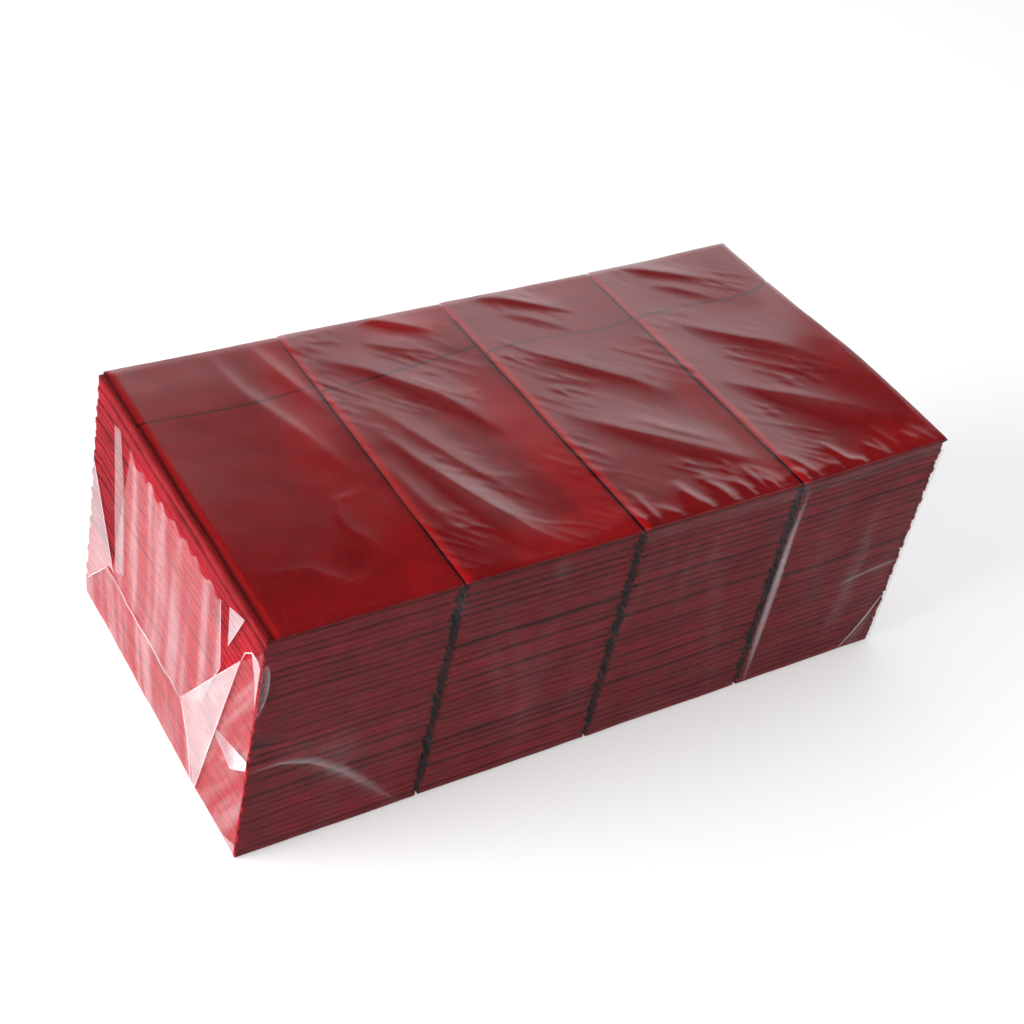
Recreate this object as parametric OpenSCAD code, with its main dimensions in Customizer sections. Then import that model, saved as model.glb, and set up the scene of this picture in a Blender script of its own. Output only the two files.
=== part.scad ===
// Film-wrapped set of folded cutlery pouch napkins.
// Stacks of napkins stand side by side, and one clear sheet is drawn round them.
// Lengths are in millimetres and angles in degrees. X runs along the row of stacks,
// Y from the closed pouch bottoms in front to the pouch mouths at the back, and Z is up.

/* [Napkin] */
// Width of a folded napkin, a quarter of the opened sheet
napkin_w = 97; // [80:1:120]
// Length of a folded napkin, from the closed bottom to the free back edge
napkin_l = 200; // [150:1:230]
// Height that one napkin takes in the leftmost stack
napkin_pitch = 4.1; // [4:0.1:6]
// Thickness of one layer of the paper
paper_t = 0.4; // [0.3:0.01:0.42]
// Distance of the pouch mouth from the free back edge
mouth_inset = 47; // [20:1:80]
// How deep the rounding of a folded edge reaches, seen from above
fold_depth = 2; // [1.5:0.1:3]
// How far the free edges lie behind the fold above them
edge_setback = 0.8; // [0.2:0.1:2]

/* [Stacks] */
// Number of napkins in a stack
napkin_count = 36; // [2:1:40]
// Room between a napkin and the next one, and between the panels of a napkin
layer_gap = 0.1; // [0.05:0.01:0.15]
// Least room between two neighbouring stacks
stack_gap = 0.6; // [0.2:0.1:5]
// How far single napkins lie out of line with their stack
stagger = 0.4; // [0:0.1:1.5]
// Turn of each stack seen from above
stack_yaw = [-0.8, 0.3, 1.1, 1.3]; // [-3:0.1:3]
// How far the top of each stack stands to the right of its base
stack_lean = [5, 4, 1, -1.5]; // [-8:0.5:8]
// How much higher the pack stands at its right end than at its left
top_rise = 3; // [0:0.5:8]

/* [Film] */
// Thickness of the film
film_t = 0.3; // [0.2:0.05:0.6]
// Room between the film and the napkin that reaches out furthest
film_gap = 0.3; // [0.3:0.1:2]
// Inner radius of the film round the edges of the pack
film_edge_r = 1; // [0.3:0.1:1]
// Height of the lower end flap, folded up against the end
lower_flap_h = 42; // [20:1:60]
// How far the lower end flap narrows at each side
flap_taper = 34; // [10:1:60]
// How far the upper end flap reaches down over the end
upper_flap_h = 104; // [60:1:110]
// Width of the upper end flap
upper_flap_w = 104; // [60:1:120]
// How far the front side gusset reaches in over the end
front_gusset = 70; // [20:1:80]
// How far the back side gusset reaches in over the end
back_gusset = 39; // [20:1:80]
// Width of the film lap along the back
lap_w = 30; // [10:1:60]
// Height of the lip where the film is drawn over the front top edge
lip_h = 6; // [3:0.5:12]
// Width of the folded tuck in front of the last seam
tuck_w = 8; // [4:0.5:15]
// Length of the folded tuck
tuck_l = 95; // [40:1:120]
// How far the loose film ear stands out at the left front corner
ear_reach = 4; // [1:0.5:8]
// Length of the loose film ear
ear_l = 31; // [15:1:50]
// Height of a drawn crease in the film
crease_h = 1.6; // [0.4:0.1:3]
// Width of a drawn crease in the film
crease_w = 8; // [3:0.5:12]

/* [Hidden] */
STACKS = [for (s = [1:len(stack_yaw)]) s];
TOP_NODES = [for (s = STACKS) str("top_napkin_", s)];
STACK_NODES = [for (s = STACKS) str("stack_", s)];

PAPER_RED = [0.55, 0.06, 0.09];
PAPER_TOP = [0.66, 0.09, 0.12];
FILM_CLEAR = [0.93, 0.9, 0.9, 0.35];

// Angle between one irregular value and the next
SCATTER_TURN = 137;
// Share of a crease's length over which it rises at each end
CREASE_RISE = 0.25;
// Faces of a drawn crease: six points of its foot, then the two ends of its ridge
CREASE_FACES = [[0, 1, 2, 3, 4, 5], [0, 6, 1], [1, 6, 7, 2], [2, 7, 3], [3, 7, 4], [4, 7, 6, 5], [5, 6, 0]];

// Steps in a rounded fold, and facets round the film's edges
FOLD_STEPS = 4;
PANEL_STEPS = 3;
EDGE_FN = 12;
// Depth to which what is raised on the film reaches into its wall
SINK = film_t / 2;

// Diagonal creases above each stack, by both ends: shares of its width from the left and of its length
// from the back
TOP_CREASES = [[0.30, 0.03, 0.72, 0.21], [0.35, 0.34, 0.80, 0.54], [0.36, 0.66, 0.88, 0.90]];
// Short gathers of each stack: places across its width, alike on the top and in front
GATHERS = [0.12, 0.33, 0.52, 0.70, 0.90];
// Drawn folds of the ends: places across the upper flap
END_FOLDS = [0.08, 0.24, 0.37, 0.55, 0.68, 0.87];

stack_last = len(stack_yaw);
function yaw(s) = stack_yaw[s - 1];
function lean(s) = stack_lean[s - 1];

// Places of the stacks: each clears the one on its left over its whole length and height
function swing(s) = napkin_l / 2 * abs(sin(yaw(s) - yaw(s - 1))) + max(0, lean(s) - lean(s - 1));
function half_span(s) = napkin_w / 2 * cos(yaw(s)) + stagger;
function row_x(s) = s == 1 ? 0 : row_x(s - 1) + half_span(s - 1) + half_span(s) + stack_gap + swing(s);

// Heights of the stacks under the film, which slopes up from left to right
wide_yaw = max([for (a = stack_yaw) abs(a)]);
pack_d = napkin_l + 2 * (stagger + napkin_w / 2 * sin(wide_yaw) + film_gap + film_t);
row_w = row_x(stack_last) + half_span(1) + half_span(stack_last);
base_z = film_t + film_gap;
low_h = base_z + napkin_count * napkin_pitch;
function rise_at(x) = top_rise * (x + half_span(1)) / row_w;
function stack_h(s) = low_h + max(0, rise_at(row_x(s) - half_span(s)));
function pitch(s) = (stack_h(s) - base_z) / napkin_count;
function napkin_t(s) = pitch(s) - layer_gap;

// Outside of the film at an end, following the turn and the lean of the outer stack. Side is -1 or 1.
function end_stack(side) = side < 0 ? 1 : stack_last;
function end_x(side, y, z) =
    let(s = end_stack(side))
    row_x(s) + side * (half_span(s) + film_gap + film_t)
    - y * tan(yaw(s)) - lean(s) * (1 - z / stack_h(s));
function film_top(x) = low_h + film_gap + film_t + rise_at(x);
function end_h(side) = film_top(end_x(side, 0, low_h));

// Middle of the whole pack, which the model's own X is measured from
left_most = min([for (y = [-1, 1], z = [0, end_h(-1)]) end_x(-1, y * pack_d / 2, z)]);
right_most = max([for (y = [-1, 1], z = [0, end_h(1)]) end_x(1, y * pack_d / 2, z)]);
mid_x = (left_most + right_most) / 2;

// A point on the film: p holds the two coordinates along the face, out the height above it
function on_face(face, p, out) =
    face == "top" ? [p.x, p.y, film_top(p.x) + out] :
    face == "front" ? [p.x, -pack_d / 2 - out, p.y] :
    face == "back" ? [p.x, pack_d / 2 + out, p.y] :
    face == "left" ? [end_x(-1, p.x, p.y) - out, p.x, p.y] :
    [end_x(1, p.x, p.y) + out, p.x, p.y];
// True where a list of points that turns left in the face's coordinates also does so seen from outside
function turns_left(face) = face == "top" || face == "front" || face == "right";

function reversed(list) = [for (k = [len(list) - 1:-1:0]) list[k]];

// Rounded fold from its lower to its upper end. It bulges from the line at base by reach.
function fold_arc(base, z, reach, height, steps) =
    [for (k = [0:steps]) let(a = 180 * k / steps - 90)
        [base + reach * cos(a), z + height / 2 * (1 + sin(a))]];

// Irregular value from -1 to 1 that is the same each time
function scatter(k) = sin(SCATTER_TURN * k);

// Turns a profile drawn in Y and Z into a bar along X, and one drawn in X and Z into a bar along Y
module bar_x(w) {
    rotate([90, 0, 90]) linear_extrude(w, center = true) children();
}

module bar_y(l) {
    translate([0, l, 0]) rotate([90, 0, 0]) linear_extrude(l) children();
}

// The pouch takes the height that the eight layers and the gaps between the panels leave
function pouch_gap(t) = t - 8 * paper_t - 3 * layer_gap;
mouth_y = napkin_l - mouth_inset;

// Back end of a napkin's side view: behind the mouth only the long leaves go on, without the
// short leaf and the pouch above and without the short leaf below
function tail_top(t) = let(z = t - paper_t - pouch_gap(t)) [[mouth_y, t], [mouth_y, z], [napkin_l, z]];
function tail_bottom() = [[napkin_l, paper_t], [mouth_y, paper_t], [mouth_y, 0]];

// A napkin inside the stack: the outer form of the folded sheet
module plain_napkin(t) {
    edge = napkin_w / 2 - fold_depth / 2;
    intersection() {
        bar_x(napkin_w)
            polygon(concat(fold_arc(fold_depth, 0, -fold_depth, t, FOLD_STEPS), tail_top(t), tail_bottom()));
        bar_y(napkin_l)
            polygon(concat(
                fold_arc(edge, 0, fold_depth / 2, t, PANEL_STEPS),
                reversed(fold_arc(-edge, 0, -fold_depth / 2, t, PANEL_STEPS))));
    }
}

// Heights of the four panels of a folded napkin from the bottom up, each of two leaves:
// panel 1, then 4, then 3, and panel 2 on top, which holds the pouch
function level(k) = k * (2 * paper_t + layer_gap);

// Section across a folded napkin. Panel 1 wraps up round the right edge into panel 2, which folds at
// the left edge into panel 3 beneath it, and panel 3 folds inside the right edge into panel 4.
module folded_section(t) {
    leaf2 = 2 * paper_t;
    right = napkin_w / 2 - fold_depth;
    left = -napkin_w / 2 + fold_depth / 2;
    free = -napkin_w / 2 + edge_setback;
    inside_h = level(3) - leaf2;
    polygon(concat(
        [[free, 0]],
        fold_arc(right, 0, fold_depth, t, PANEL_STEPS),
        reversed(fold_arc(left, level(2), -fold_depth / 2, t - level(2), PANEL_STEPS)),
        [[right, level(2)], [right, level(2) - layer_gap]],
        [[free + edge_setback, level(2) - layer_gap], [free + edge_setback, level(1)]],
        fold_arc(right, level(1), fold_depth - leaf2 - layer_gap, inside_h - 2 * layer_gap, PANEL_STEPS),
        [[left, level(3) - layer_gap], [left, level(3)]],
        reversed(fold_arc(right, leaf2, fold_depth - leaf2, inside_h, PANEL_STEPS)),
        [[free, leaf2]]));
}

// Side view of a folded napkin: each panel has its own rounded bottom fold
module folded_side(t) {
    nose = fold_depth / 2;
    leaf2 = 2 * paper_t;
    polygon(concat(
        fold_arc(nose, 0, -nose, leaf2, PANEL_STEPS),
        fold_arc(nose, level(1), -nose, leaf2, PANEL_STEPS),
        fold_arc(nose, level(2), -nose, leaf2, PANEL_STEPS),
        fold_arc(nose, level(3), -nose, t - level(3), PANEL_STEPS),
        tail_top(t),
        [[napkin_l, level(2) + paper_t], [mouth_y, level(2) + paper_t]],
        [[mouth_y, level(2) - layer_gap - paper_t], [napkin_l, level(2) - layer_gap - paper_t]],
        tail_bottom()));
}

// The napkin on top of a stack, with its panels, its open pouch and its mouth
module pouch_napkin(t) {
    pouch_w = napkin_w - 1.5 * fold_depth - 2 * paper_t;
    difference() {
        intersection() {
            bar_x(napkin_w) folded_side(t);
            bar_y(napkin_l) folded_section(t);
        }
        translate([-napkin_w / 2 + fold_depth / 2 + paper_t, fold_depth, t - paper_t - pouch_gap(t)])
            cube([pouch_w, mouth_y, pouch_gap(t)]);
    }
}

// Puts a napkin in its place: layer i of stack s, counted from the bottom
module in_stack(s, i) {
    z = base_z + i * pitch(s);
    x = row_x(s) - lean(s) * (1 - z / stack_h(s)) + stagger * scatter(i + s / 2);
    translate([x - mid_x, stagger * scatter(2 * i + s / 3), z])
        rotate([0, 0, yaw(s)])
            translate([0, -napkin_l / 2, 0])
                children();
}

module top_napkin(s) {
    color(PAPER_TOP) in_stack(s, napkin_count - 1) pouch_napkin(napkin_t(s));
}

module stack(s) {
    color(PAPER_RED) for (i = [0:napkin_count - 2]) in_stack(s, i) plain_napkin(napkin_t(s));
}

// Solid between two loops of points that turn left seen from outside: the lower one and the upper one
module between_loops(lower, upper) {
    n = len(lower);
    walls = [for (i = [0:n - 1]) let(j = (i + 1) % n) [i, n + i, n + j, j]];
    polyhedron(
        concat(lower, upper),
        concat([[for (i = [0:n - 1]) i]], [[for (i = [n - 1:-1:0]) n + i]], walls));
}

// Raised ply of film on a face, with its outline in the face's two coordinates
module ply(face, outline, out) {
    loop = turns_left(face) ? outline : reversed(outline);
    between_loops([for (p = loop) on_face(face, p, -SINK)], [for (p = loop) on_face(face, p, out)]);
}

// Drawn crease from p to q along a face. It runs out to nothing at both ends, and bow bends it sideways.
module crease(face, p, q, h = crease_h, w = crease_w, bow = 0) {
    along = q - p;
    across = [-along.y, along.x] / norm(along);
    a = p + along * CREASE_RISE + across * bow;
    b = q - along * CREASE_RISE + across * bow;
    half = across * w / 2;
    loop = [p, a - half, b - half, q, b + half, a + half];
    spine = [on_face(face, a, h), on_face(face, b, h)];
    polyhedron(
        concat([for (v = loop) on_face(face, v, -SINK)], spine),
        turns_left(face) ? CREASE_FACES : [for (f = CREASE_FACES) reversed(f)]);
}

// The film drawn tight round the stacks, less a wall of the given thickness
module film_block(wall) {
    keep = film_edge_r + film_t;
    hull() for (side = [-1, 1], y = [-1, 1] * (pack_d / 2 - keep), z = [keep, end_h(side) - keep]) {
        x = end_x(side, y, z) - side * keep;
        translate([x, y, z]) sphere(keep - wall, $fn = EDGE_FN);
    }
}

// Envelope fold that closes an end: two side gussets, the upper flap over them and the lower flap on top
module end_folds(side) {
    face = side < 0 ? "left" : "right";
    edge = pack_d / 2 - film_edge_r - film_t;
    foot = film_edge_r + film_t;
    head = end_h(side) - foot;
    waist = lower_flap_h;
    ply(face, [[-edge, foot], [-edge + front_gusset, waist], [-edge, head]], film_t);
    ply(face, [[edge, foot], [edge, head * 2 / 3], [edge - back_gusset, waist]], film_t);
    flap = upper_flap_w / 2;
    low = head - upper_flap_h;
    ply(face, [[-flap, low], [flap, low], [flap, head], [-flap, head]], 2 * film_t);
    front_end = -edge + 2 * flap_taper;
    ply(face, [[-edge, foot], [edge, foot], [edge - flap_taper, waist], [front_end, waist]], 3 * film_t);
    for (u = END_FOLDS) {
        y = (u - 0.5) * upper_flap_w;
        crease(face, [y, head - lip_h], [y + crease_w * scatter(3 * u), waist + lip_h]);
    }
}

// Diagonal creases that the film draws over each stack, and the gathers at its front edges
module top_creases(s) {
    x0 = row_x(s) - napkin_w / 2;
    function over(u, v) = [x0 + u * napkin_w, (0.5 - v) * napkin_l];
    for (c = TOP_CREASES) crease("top", over(c[0], c[1]), over(c[2], c[3]));
    for (u = GATHERS) {
        x = x0 + u * napkin_w;
        fan = crease_w * scatter(4 * u + s / 2);
        crease("top", [x, -napkin_l / 2 + 1], [x + fan, -napkin_l / 2 + 4 * lip_h], crease_h / 2);
        crease("front", [x, low_h - lip_h], [x - fan, low_h - 5 * lip_h], crease_h / 2);
    }
}

// Lip where the sheet is drawn over the front top edge, along the right half of the pack, and the
// tuck that gathers the slack sheet in front of the last seam
module front_lip() {
    foot = film_edge_r + film_t;
    x0 = row_x(ceil(stack_last / 2)) + napkin_w / 2;
    x1 = end_x(1, -pack_d / 2, low_h) - foot;
    seam = row_x(stack_last) - half_span(stack_last) + pack_d / 2 * tan(yaw(stack_last));
    z1 = low_h - foot;
    ply("front", [[x0, z1 - lip_h], [x1, z1 - lip_h], [x1, z1], [x0, z1]], film_t);
    ply("front", [[seam, z1 - tuck_l], [seam + tuck_w / 2, z1], [seam - tuck_w / 2, z1]], 2 * film_t);
}

// Long creases that run from the end folds round the lower front corners
module corner_creases() {
    foot = film_edge_r + film_t;
    reach = front_gusset + crease_w;
    function front_end(side, z) = [end_x(side, -pack_d / 2, z) - 2 * side * foot, z];
    left = front_end(-1, lower_flap_h + 3 * crease_w);
    right = front_end(1, lower_flap_h - crease_w);
    crease("front", left, [left.x + reach, foot], bow = -crease_w);
    crease("front", [right.x - reach / 4, foot], right);
}

// Lap where the two long edges of the sheet are joined, along the foot of the back
module back_lap() {
    foot = film_edge_r + film_t;
    head = foot + lap_w;
    corners = [[-1, foot], [1, foot], [1, head], [-1, head]];
    ply("back", [for (c = corners) [end_x(c.x, pack_d / 2, c.y) - c.x * foot, c.y]], film_t);
}

// Loose ear of film that stands out from the left front corner, below the top
module film_ear() {
    z1 = end_h(-1) - 1.5 * lip_h;
    x = end_x(-1, -pack_d / 2, z1);
    inset = film_edge_r + film_t;
    tip = [-inset - ear_reach, -ear_l / 3];
    translate([x + inset, -pack_d / 2 + inset, z1])
        rotate([90, 0, 45])
            linear_extrude(2 * film_t, center = true)
                polygon([[0, 0], [-inset, 0], tip, [-inset, -ear_l], [0, -ear_l]]);
}

module film_wrap() {
    color(FILM_CLEAR) translate([-mid_x, 0, 0]) difference() {
        union() {
            film_block(0);
            end_folds(-1);
            end_folds(1);
            for (s = STACKS) top_creases(s);
            front_lip();
            corner_creases();
            back_lap();
            film_ear();
        }
        film_block(film_t);
    }
}

film_wrap();
for (s = STACKS) {
    top_napkin(s);
    stack(s);
}
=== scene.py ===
# %% [markdown]
# # A wrapped set of cutlery pouch napkins
# The real object is a set of four stacks of folded paper napkins, each with a pouch for cutlery, packed
# side by side in one sheet of clear film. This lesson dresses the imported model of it: the napkins get
# their folds and their paper, and the film gets its wrinkles, its folded ends and its gloss. Everything
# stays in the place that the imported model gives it, so the first step is to load that model.

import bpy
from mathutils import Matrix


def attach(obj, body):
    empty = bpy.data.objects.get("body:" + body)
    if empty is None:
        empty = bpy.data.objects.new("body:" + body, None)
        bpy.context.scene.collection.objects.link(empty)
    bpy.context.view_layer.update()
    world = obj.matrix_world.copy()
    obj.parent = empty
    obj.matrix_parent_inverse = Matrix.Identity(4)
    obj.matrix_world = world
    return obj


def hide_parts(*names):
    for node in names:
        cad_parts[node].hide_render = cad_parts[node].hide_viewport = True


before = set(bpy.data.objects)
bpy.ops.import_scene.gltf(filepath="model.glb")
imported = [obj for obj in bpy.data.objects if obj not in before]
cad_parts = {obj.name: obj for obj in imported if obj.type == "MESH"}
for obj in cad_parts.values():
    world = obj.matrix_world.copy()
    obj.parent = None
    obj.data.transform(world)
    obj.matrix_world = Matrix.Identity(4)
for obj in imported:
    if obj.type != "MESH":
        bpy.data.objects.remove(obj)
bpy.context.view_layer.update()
print("nodes:", sorted(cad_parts))

# %% Tools used below
import math

import bpy
import numpy as np
from mathutils import Matrix, Vector
from mathutils.geometry import delaunay_2d_cdt

MM = 0.001

# %% [markdown]
# ## Camera
# The photograph looks down on the left front corner of the pack. A camera could be placed by eye, but
# here its place and its three axes were worked out from the corners and seams of the pack in the
# photograph, so they are written down as numbers.

# %% Place the camera
CAMERA_AT = (-472.85, -582.34, 699.12)
CAMERA_RIGHT = (0.84386, -0.51067, 0.16465)
CAMERA_DOWN = (-0.22700, -0.61783, -0.75283)
CAMERA_LENS = 63.17

view = bpy.data.cameras.new("photo_view")
view.lens = CAMERA_LENS
view.sensor_width = 36
view.clip_start = 0.01
view.clip_end = 50
camera = bpy.data.objects.new("photo_view", view)
right = Vector(CAMERA_RIGHT).normalized()
up = -Vector(CAMERA_DOWN).normalized()
back = right.cross(up).normalized()
up = back.cross(right)
camera.matrix_world = Matrix((
    (right.x, up.x, back.x, CAMERA_AT[0] * MM),
    (right.y, up.y, back.y, CAMERA_AT[1] * MM),
    (right.z, up.z, back.z, CAMERA_AT[2] * MM),
    (0, 0, 0, 1)))
bpy.context.scene.collection.objects.link(camera)
bpy.context.scene.camera = camera
bpy.context.scene.view_settings.view_transform = "Standard"
print("camera at", CAMERA_AT, "mm, lens", CAMERA_LENS, "mm")

# %% [markdown]
# ## Layout of the stacks
# Each stack is turned and leans a little, as napkins do when they are pushed into a wrapper. The numbers
# are those of the part's own source, in millimetres and degrees, so that every napkin drawn here lies
# where its solid lies.

# %% Sizes of the napkins and the film
NAPKIN_W, NAPKIN_L = 97.0, 200.0
NAPKIN_COUNT = 36
NAPKIN_PITCH = 4.1
MOUTH_INSET = 47.0
STACK_GAP = 0.6
STAGGER = 0.4
STACK_YAW = (-0.8, 0.3, 1.1, 1.3)
STACK_LEAN = (5.0, 4.0, 1.0, -1.5)
TOP_RISE = 3.0
FILM_T, FILM_GAP = 0.3, 0.3
LAYER_GAP = 0.1
BASE_Z = FILM_T + FILM_GAP
LOW_H = BASE_Z + NAPKIN_COUNT * NAPKIN_PITCH

# %% Places of the stacks
def half_span(s):
    return NAPKIN_W / 2 * math.cos(math.radians(STACK_YAW[s])) + STAGGER


def tan_yaw(s):
    return math.tan(math.radians(STACK_YAW[s]))


row_x = [0.0]
for s in range(1, 4):
    turn = math.radians(STACK_YAW[s] - STACK_YAW[s - 1])
    swing = NAPKIN_L / 2 * abs(math.sin(turn)) + max(0, STACK_LEAN[s] - STACK_LEAN[s - 1])
    row_x.append(row_x[-1] + half_span(s - 1) + half_span(s) + STACK_GAP + swing)
wide_yaw = math.radians(max(abs(a) for a in STACK_YAW))
PACK_D = NAPKIN_L + 2 * (STAGGER + NAPKIN_W / 2 * math.sin(wide_yaw) + FILM_GAP + FILM_T)
row_w = row_x[3] + half_span(0) + half_span(3)


def rise_at(x):
    return TOP_RISE * (x + half_span(0)) / row_w


stack_h = [LOW_H + max(0, rise_at(row_x[s] - half_span(s))) for s in range(4)]
pitch = [(h - BASE_Z) / NAPKIN_COUNT for h in stack_h]


def drift(s, y, z):
    """How far its turn and its lean carry stack s along the row, at depth y and height z."""
    return -y * tan_yaw(s) - STACK_LEAN[s] * (1 - z / stack_h[s])


def end_x(side, y, z):
    """Outside of the film at the left end, side -1, or at the right end, side 1."""
    s = 0 if side < 0 else 3
    return row_x[s] + side * (half_span(s) + FILM_GAP + FILM_T) + drift(s, y, z)


def film_top(x):
    return LOW_H + FILM_GAP + FILM_T + rise_at(x)


corners = {side: [end_x(side, y, z) for y in (-PACK_D / 2, PACK_D / 2)
                  for z in (0, film_top(end_x(side, 0, LOW_H)))] for side in (-1, 1)}
MID_X = (min(corners[-1]) + max(corners[1])) / 2
print("stack heights", [round(h, 1) for h in stack_h])
print("pack depth", round(PACK_D, 1), "middle", round(MID_X, 2))

# %% [markdown]
# ## Irregular values
# Paper and film are never quite even. A noise texture could shake the points, but a sum of a few slow
# waves is smooth, can be computed for thousands of points at once, and gives the same result each time.

# %% Slow waves and scattered values
def ripple(x, y, size, seed):
    """Smooth irregular values, mostly from -1 to 1. Size is the width of a swell in the units of x."""
    total = 0
    for k in range(6):
        a = seed * 1.7 + k * 2.39996
        f = 2 * math.pi / size * (0.55 + 0.2 * k)
        total = total + np.sin(f * (x * math.cos(a) + y * math.sin(a)) + seed * 5.13 + k * k)
    return total * 0.28


def scatter(k):
    return math.sin(math.radians(137 * k))


def ease(t):
    """0 below 0, 1 above 1, smooth between."""
    t = np.clip(t, 0, 1)
    return t * t * (3 - 2 * t)


print("ripple at three places:", [round(float(ripple(x, 5.0, 40, 3)), 2) for x in (0, 15, 30)])

# %% A mesh object from points and faces
def make_piece(name, points, faces, material, flat=()):
    """An object from points in mm. Faces are smooth, apart from those whose number is in flat."""
    mesh = bpy.data.meshes.new(name)
    mesh.from_pydata((np.asarray(points, dtype=float) * MM).tolist(), [], faces)
    mesh.materials.append(material)
    smooth = np.ones(len(mesh.polygons), dtype=bool)
    smooth[list(flat)] = False
    mesh.polygons.foreach_set("use_smooth", smooth)
    mesh.update()
    piece = bpy.data.objects.new(name, mesh)
    bpy.context.scene.collection.objects.link(piece)
    print(name, len(mesh.vertices), "points", len(mesh.polygons), "faces")
    return piece


def store(piece, values):
    """Keeps one number for each point of the piece under each name in values, for its material."""
    for name, numbers in values.items():
        attribute = piece.data.attributes.new(name, "FLOAT", "POINT")
        attribute.data.foreach_set("value", np.asarray(numbers, dtype=np.float32))


def join(parts):
    """Joins parts, each points, quads, caps and shades. Gives points, faces, numbers of the caps, shades."""
    points, faces, flat, shades = [], [], [], []
    base = 0
    for part, quads, caps, shade in parts:
        points.append(part)
        shades.append(shade)
        flat += range(len(faces) + len(quads), len(faces) + len(quads) + len(caps))
        faces += [tuple(base + i for i in face) for face in quads + caps]
        base += len(part)
    return np.concatenate(points), faces, flat, np.concatenate(shades)


def grid_faces(rows, cols, flip=False):
    """The quads between the points of a grid that lie row by row."""
    quads = [(j * cols + i, j * cols + i + 1, (j + 1) * cols + i + 1, (j + 1) * cols + i)
             for j in range(rows - 1) for i in range(cols - 1)]
    return [(a, d, c, b) for a, b, c, d in quads] if flip else quads


def napkin_piece(name, label, parts, material):
    """The visible piece that stands for the napkins of one node."""
    points, faces, flat, shades = join(parts)
    piece = make_piece(label, points, faces, material, flat)
    store(piece, {"shade": shades})
    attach(piece, "root")
    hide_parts(name)


# %% [markdown]
# ## Airlaid paper
# The napkins are soft airlaid paper: short fibres lie in all directions, so close up the colour is
# mottled and the surface is slightly fuzzy, almost like cloth. An image of paper would repeat and blur.
# A node group makes the fibres from noise instead, and every paper material shares it.

# %% Node group for the fibres of airlaid paper
def node_group(name, inputs, outputs):
    tree = bpy.data.node_groups.new(name, "ShaderNodeTree")
    for label, kind, value in inputs:
        socket = tree.interface.new_socket(label, in_out="INPUT", socket_type=kind)
        if value is not None:
            socket.default_value = value
    for label, kind in outputs:
        tree.interface.new_socket(label, in_out="OUTPUT", socket_type=kind)
    return tree, tree.nodes.new("NodeGroupInput"), tree.nodes.new("NodeGroupOutput")


def math_node(tree, kind, first, second, clamp=False):
    """A Math node. Each of first and second is a number or an output socket."""
    node = tree.nodes.new("ShaderNodeMath")
    node.operation = kind
    node.use_clamp = clamp
    for i, value in enumerate((first, second)):
        if isinstance(value, (int, float)):
            node.inputs[i].default_value = value
        else:
            tree.links.new(value, node.inputs[i])
    return node.outputs[0]


def plus(tree, first, second, clamp=False):
    return math_node(tree, "ADD", first, second, clamp)


def times(tree, first, second, clamp=False):
    return math_node(tree, "MULTIPLY", first, second, clamp)


def about(tree, value, middle, gain):
    """How far a value lies from the middle, times the gain."""
    return times(tree, math_node(tree, "SUBTRACT", value, middle), gain)


def named_value(tree, name):
    """The number that the points of a piece keep under a name."""
    node = tree.nodes.new("ShaderNodeAttribute")
    node.attribute_name = name
    return node.outputs["Fac"]


def object_group(tree, group):
    """A node group that gets its point from the object's own coordinates."""
    place = tree.nodes.new("ShaderNodeTexCoord")
    node = tree.nodes.new("ShaderNodeGroup")
    node.node_tree = group
    tree.links.new(place.outputs["Object"], node.inputs["Point"])
    return node


def principled(name, **values):
    """A new material, its tree and its Principled node. An underscore in a name stands for a space."""
    material = bpy.data.materials.new(name)
    material.use_nodes = True
    shader = material.node_tree.nodes["Principled BSDF"]
    for label, value in values.items():
        shader.inputs[label.replace("_", " ")].default_value = value
    return material, material.node_tree, shader


def noise_node(tree, point, scale, detail, rough=0.5):
    node = tree.nodes.new("ShaderNodeTexNoise")
    node.inputs["Scale"].default_value = scale
    node.inputs["Detail"].default_value = detail
    node.inputs["Roughness"].default_value = rough
    tree.links.new(point, node.inputs["Vector"])
    return node.outputs["Fac"]


fibres, f_in, f_out = node_group(
    "airlaid_fibres",
    [("Point", "NodeSocketVector", None), ("Mottle", "NodeSocketFloat", 0.5)],
    [("Tone", "NodeSocketFloat"), ("Height", "NodeSocketFloat")])
strands = []
for turn, scale in ((0.4, 900), (1.9, 1100)):
    stretch = fibres.nodes.new("ShaderNodeMapping")
    stretch.inputs["Rotation"].default_value = (turn, turn * 0.7, turn)
    stretch.inputs["Scale"].default_value = (1, 0.22, 1)
    fibres.links.new(f_in.outputs["Point"], stretch.inputs["Vector"])
    strands.append(noise_node(fibres, stretch.outputs["Vector"], scale, 2))
crossed = math_node(fibres, "MAXIMUM", strands[0], strands[1])
cloud = noise_node(fibres, f_in.outputs["Point"], 60, 4, 0.6)
clump = noise_node(fibres, f_in.outputs["Point"], 420, 2)
tone = about(fibres, cloud, 0.5, f_in.outputs["Mottle"])
tone = plus(fibres, tone, about(fibres, crossed, 0.45, 0.9))
tone = plus(fibres, tone, about(fibres, clump, 0.5, 0.8))
fibres.links.new(plus(fibres, tone, 0.5, clamp=True), f_out.inputs["Tone"])
fibres.links.new(plus(fibres, crossed, times(fibres, clump, 0.8)), f_out.inputs["Height"])
print("fibre group:", [s.name for s in fibres.interface.items_tree])

# %% Paper material
# Where painted light brightens the paper, shade below 0, its fibres show less: how fast they fade, and to
# what level
CALM_RATE = -1.7
CALM_LEVELS = {"Tone": 0.6, "Height": 0.5}


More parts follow.
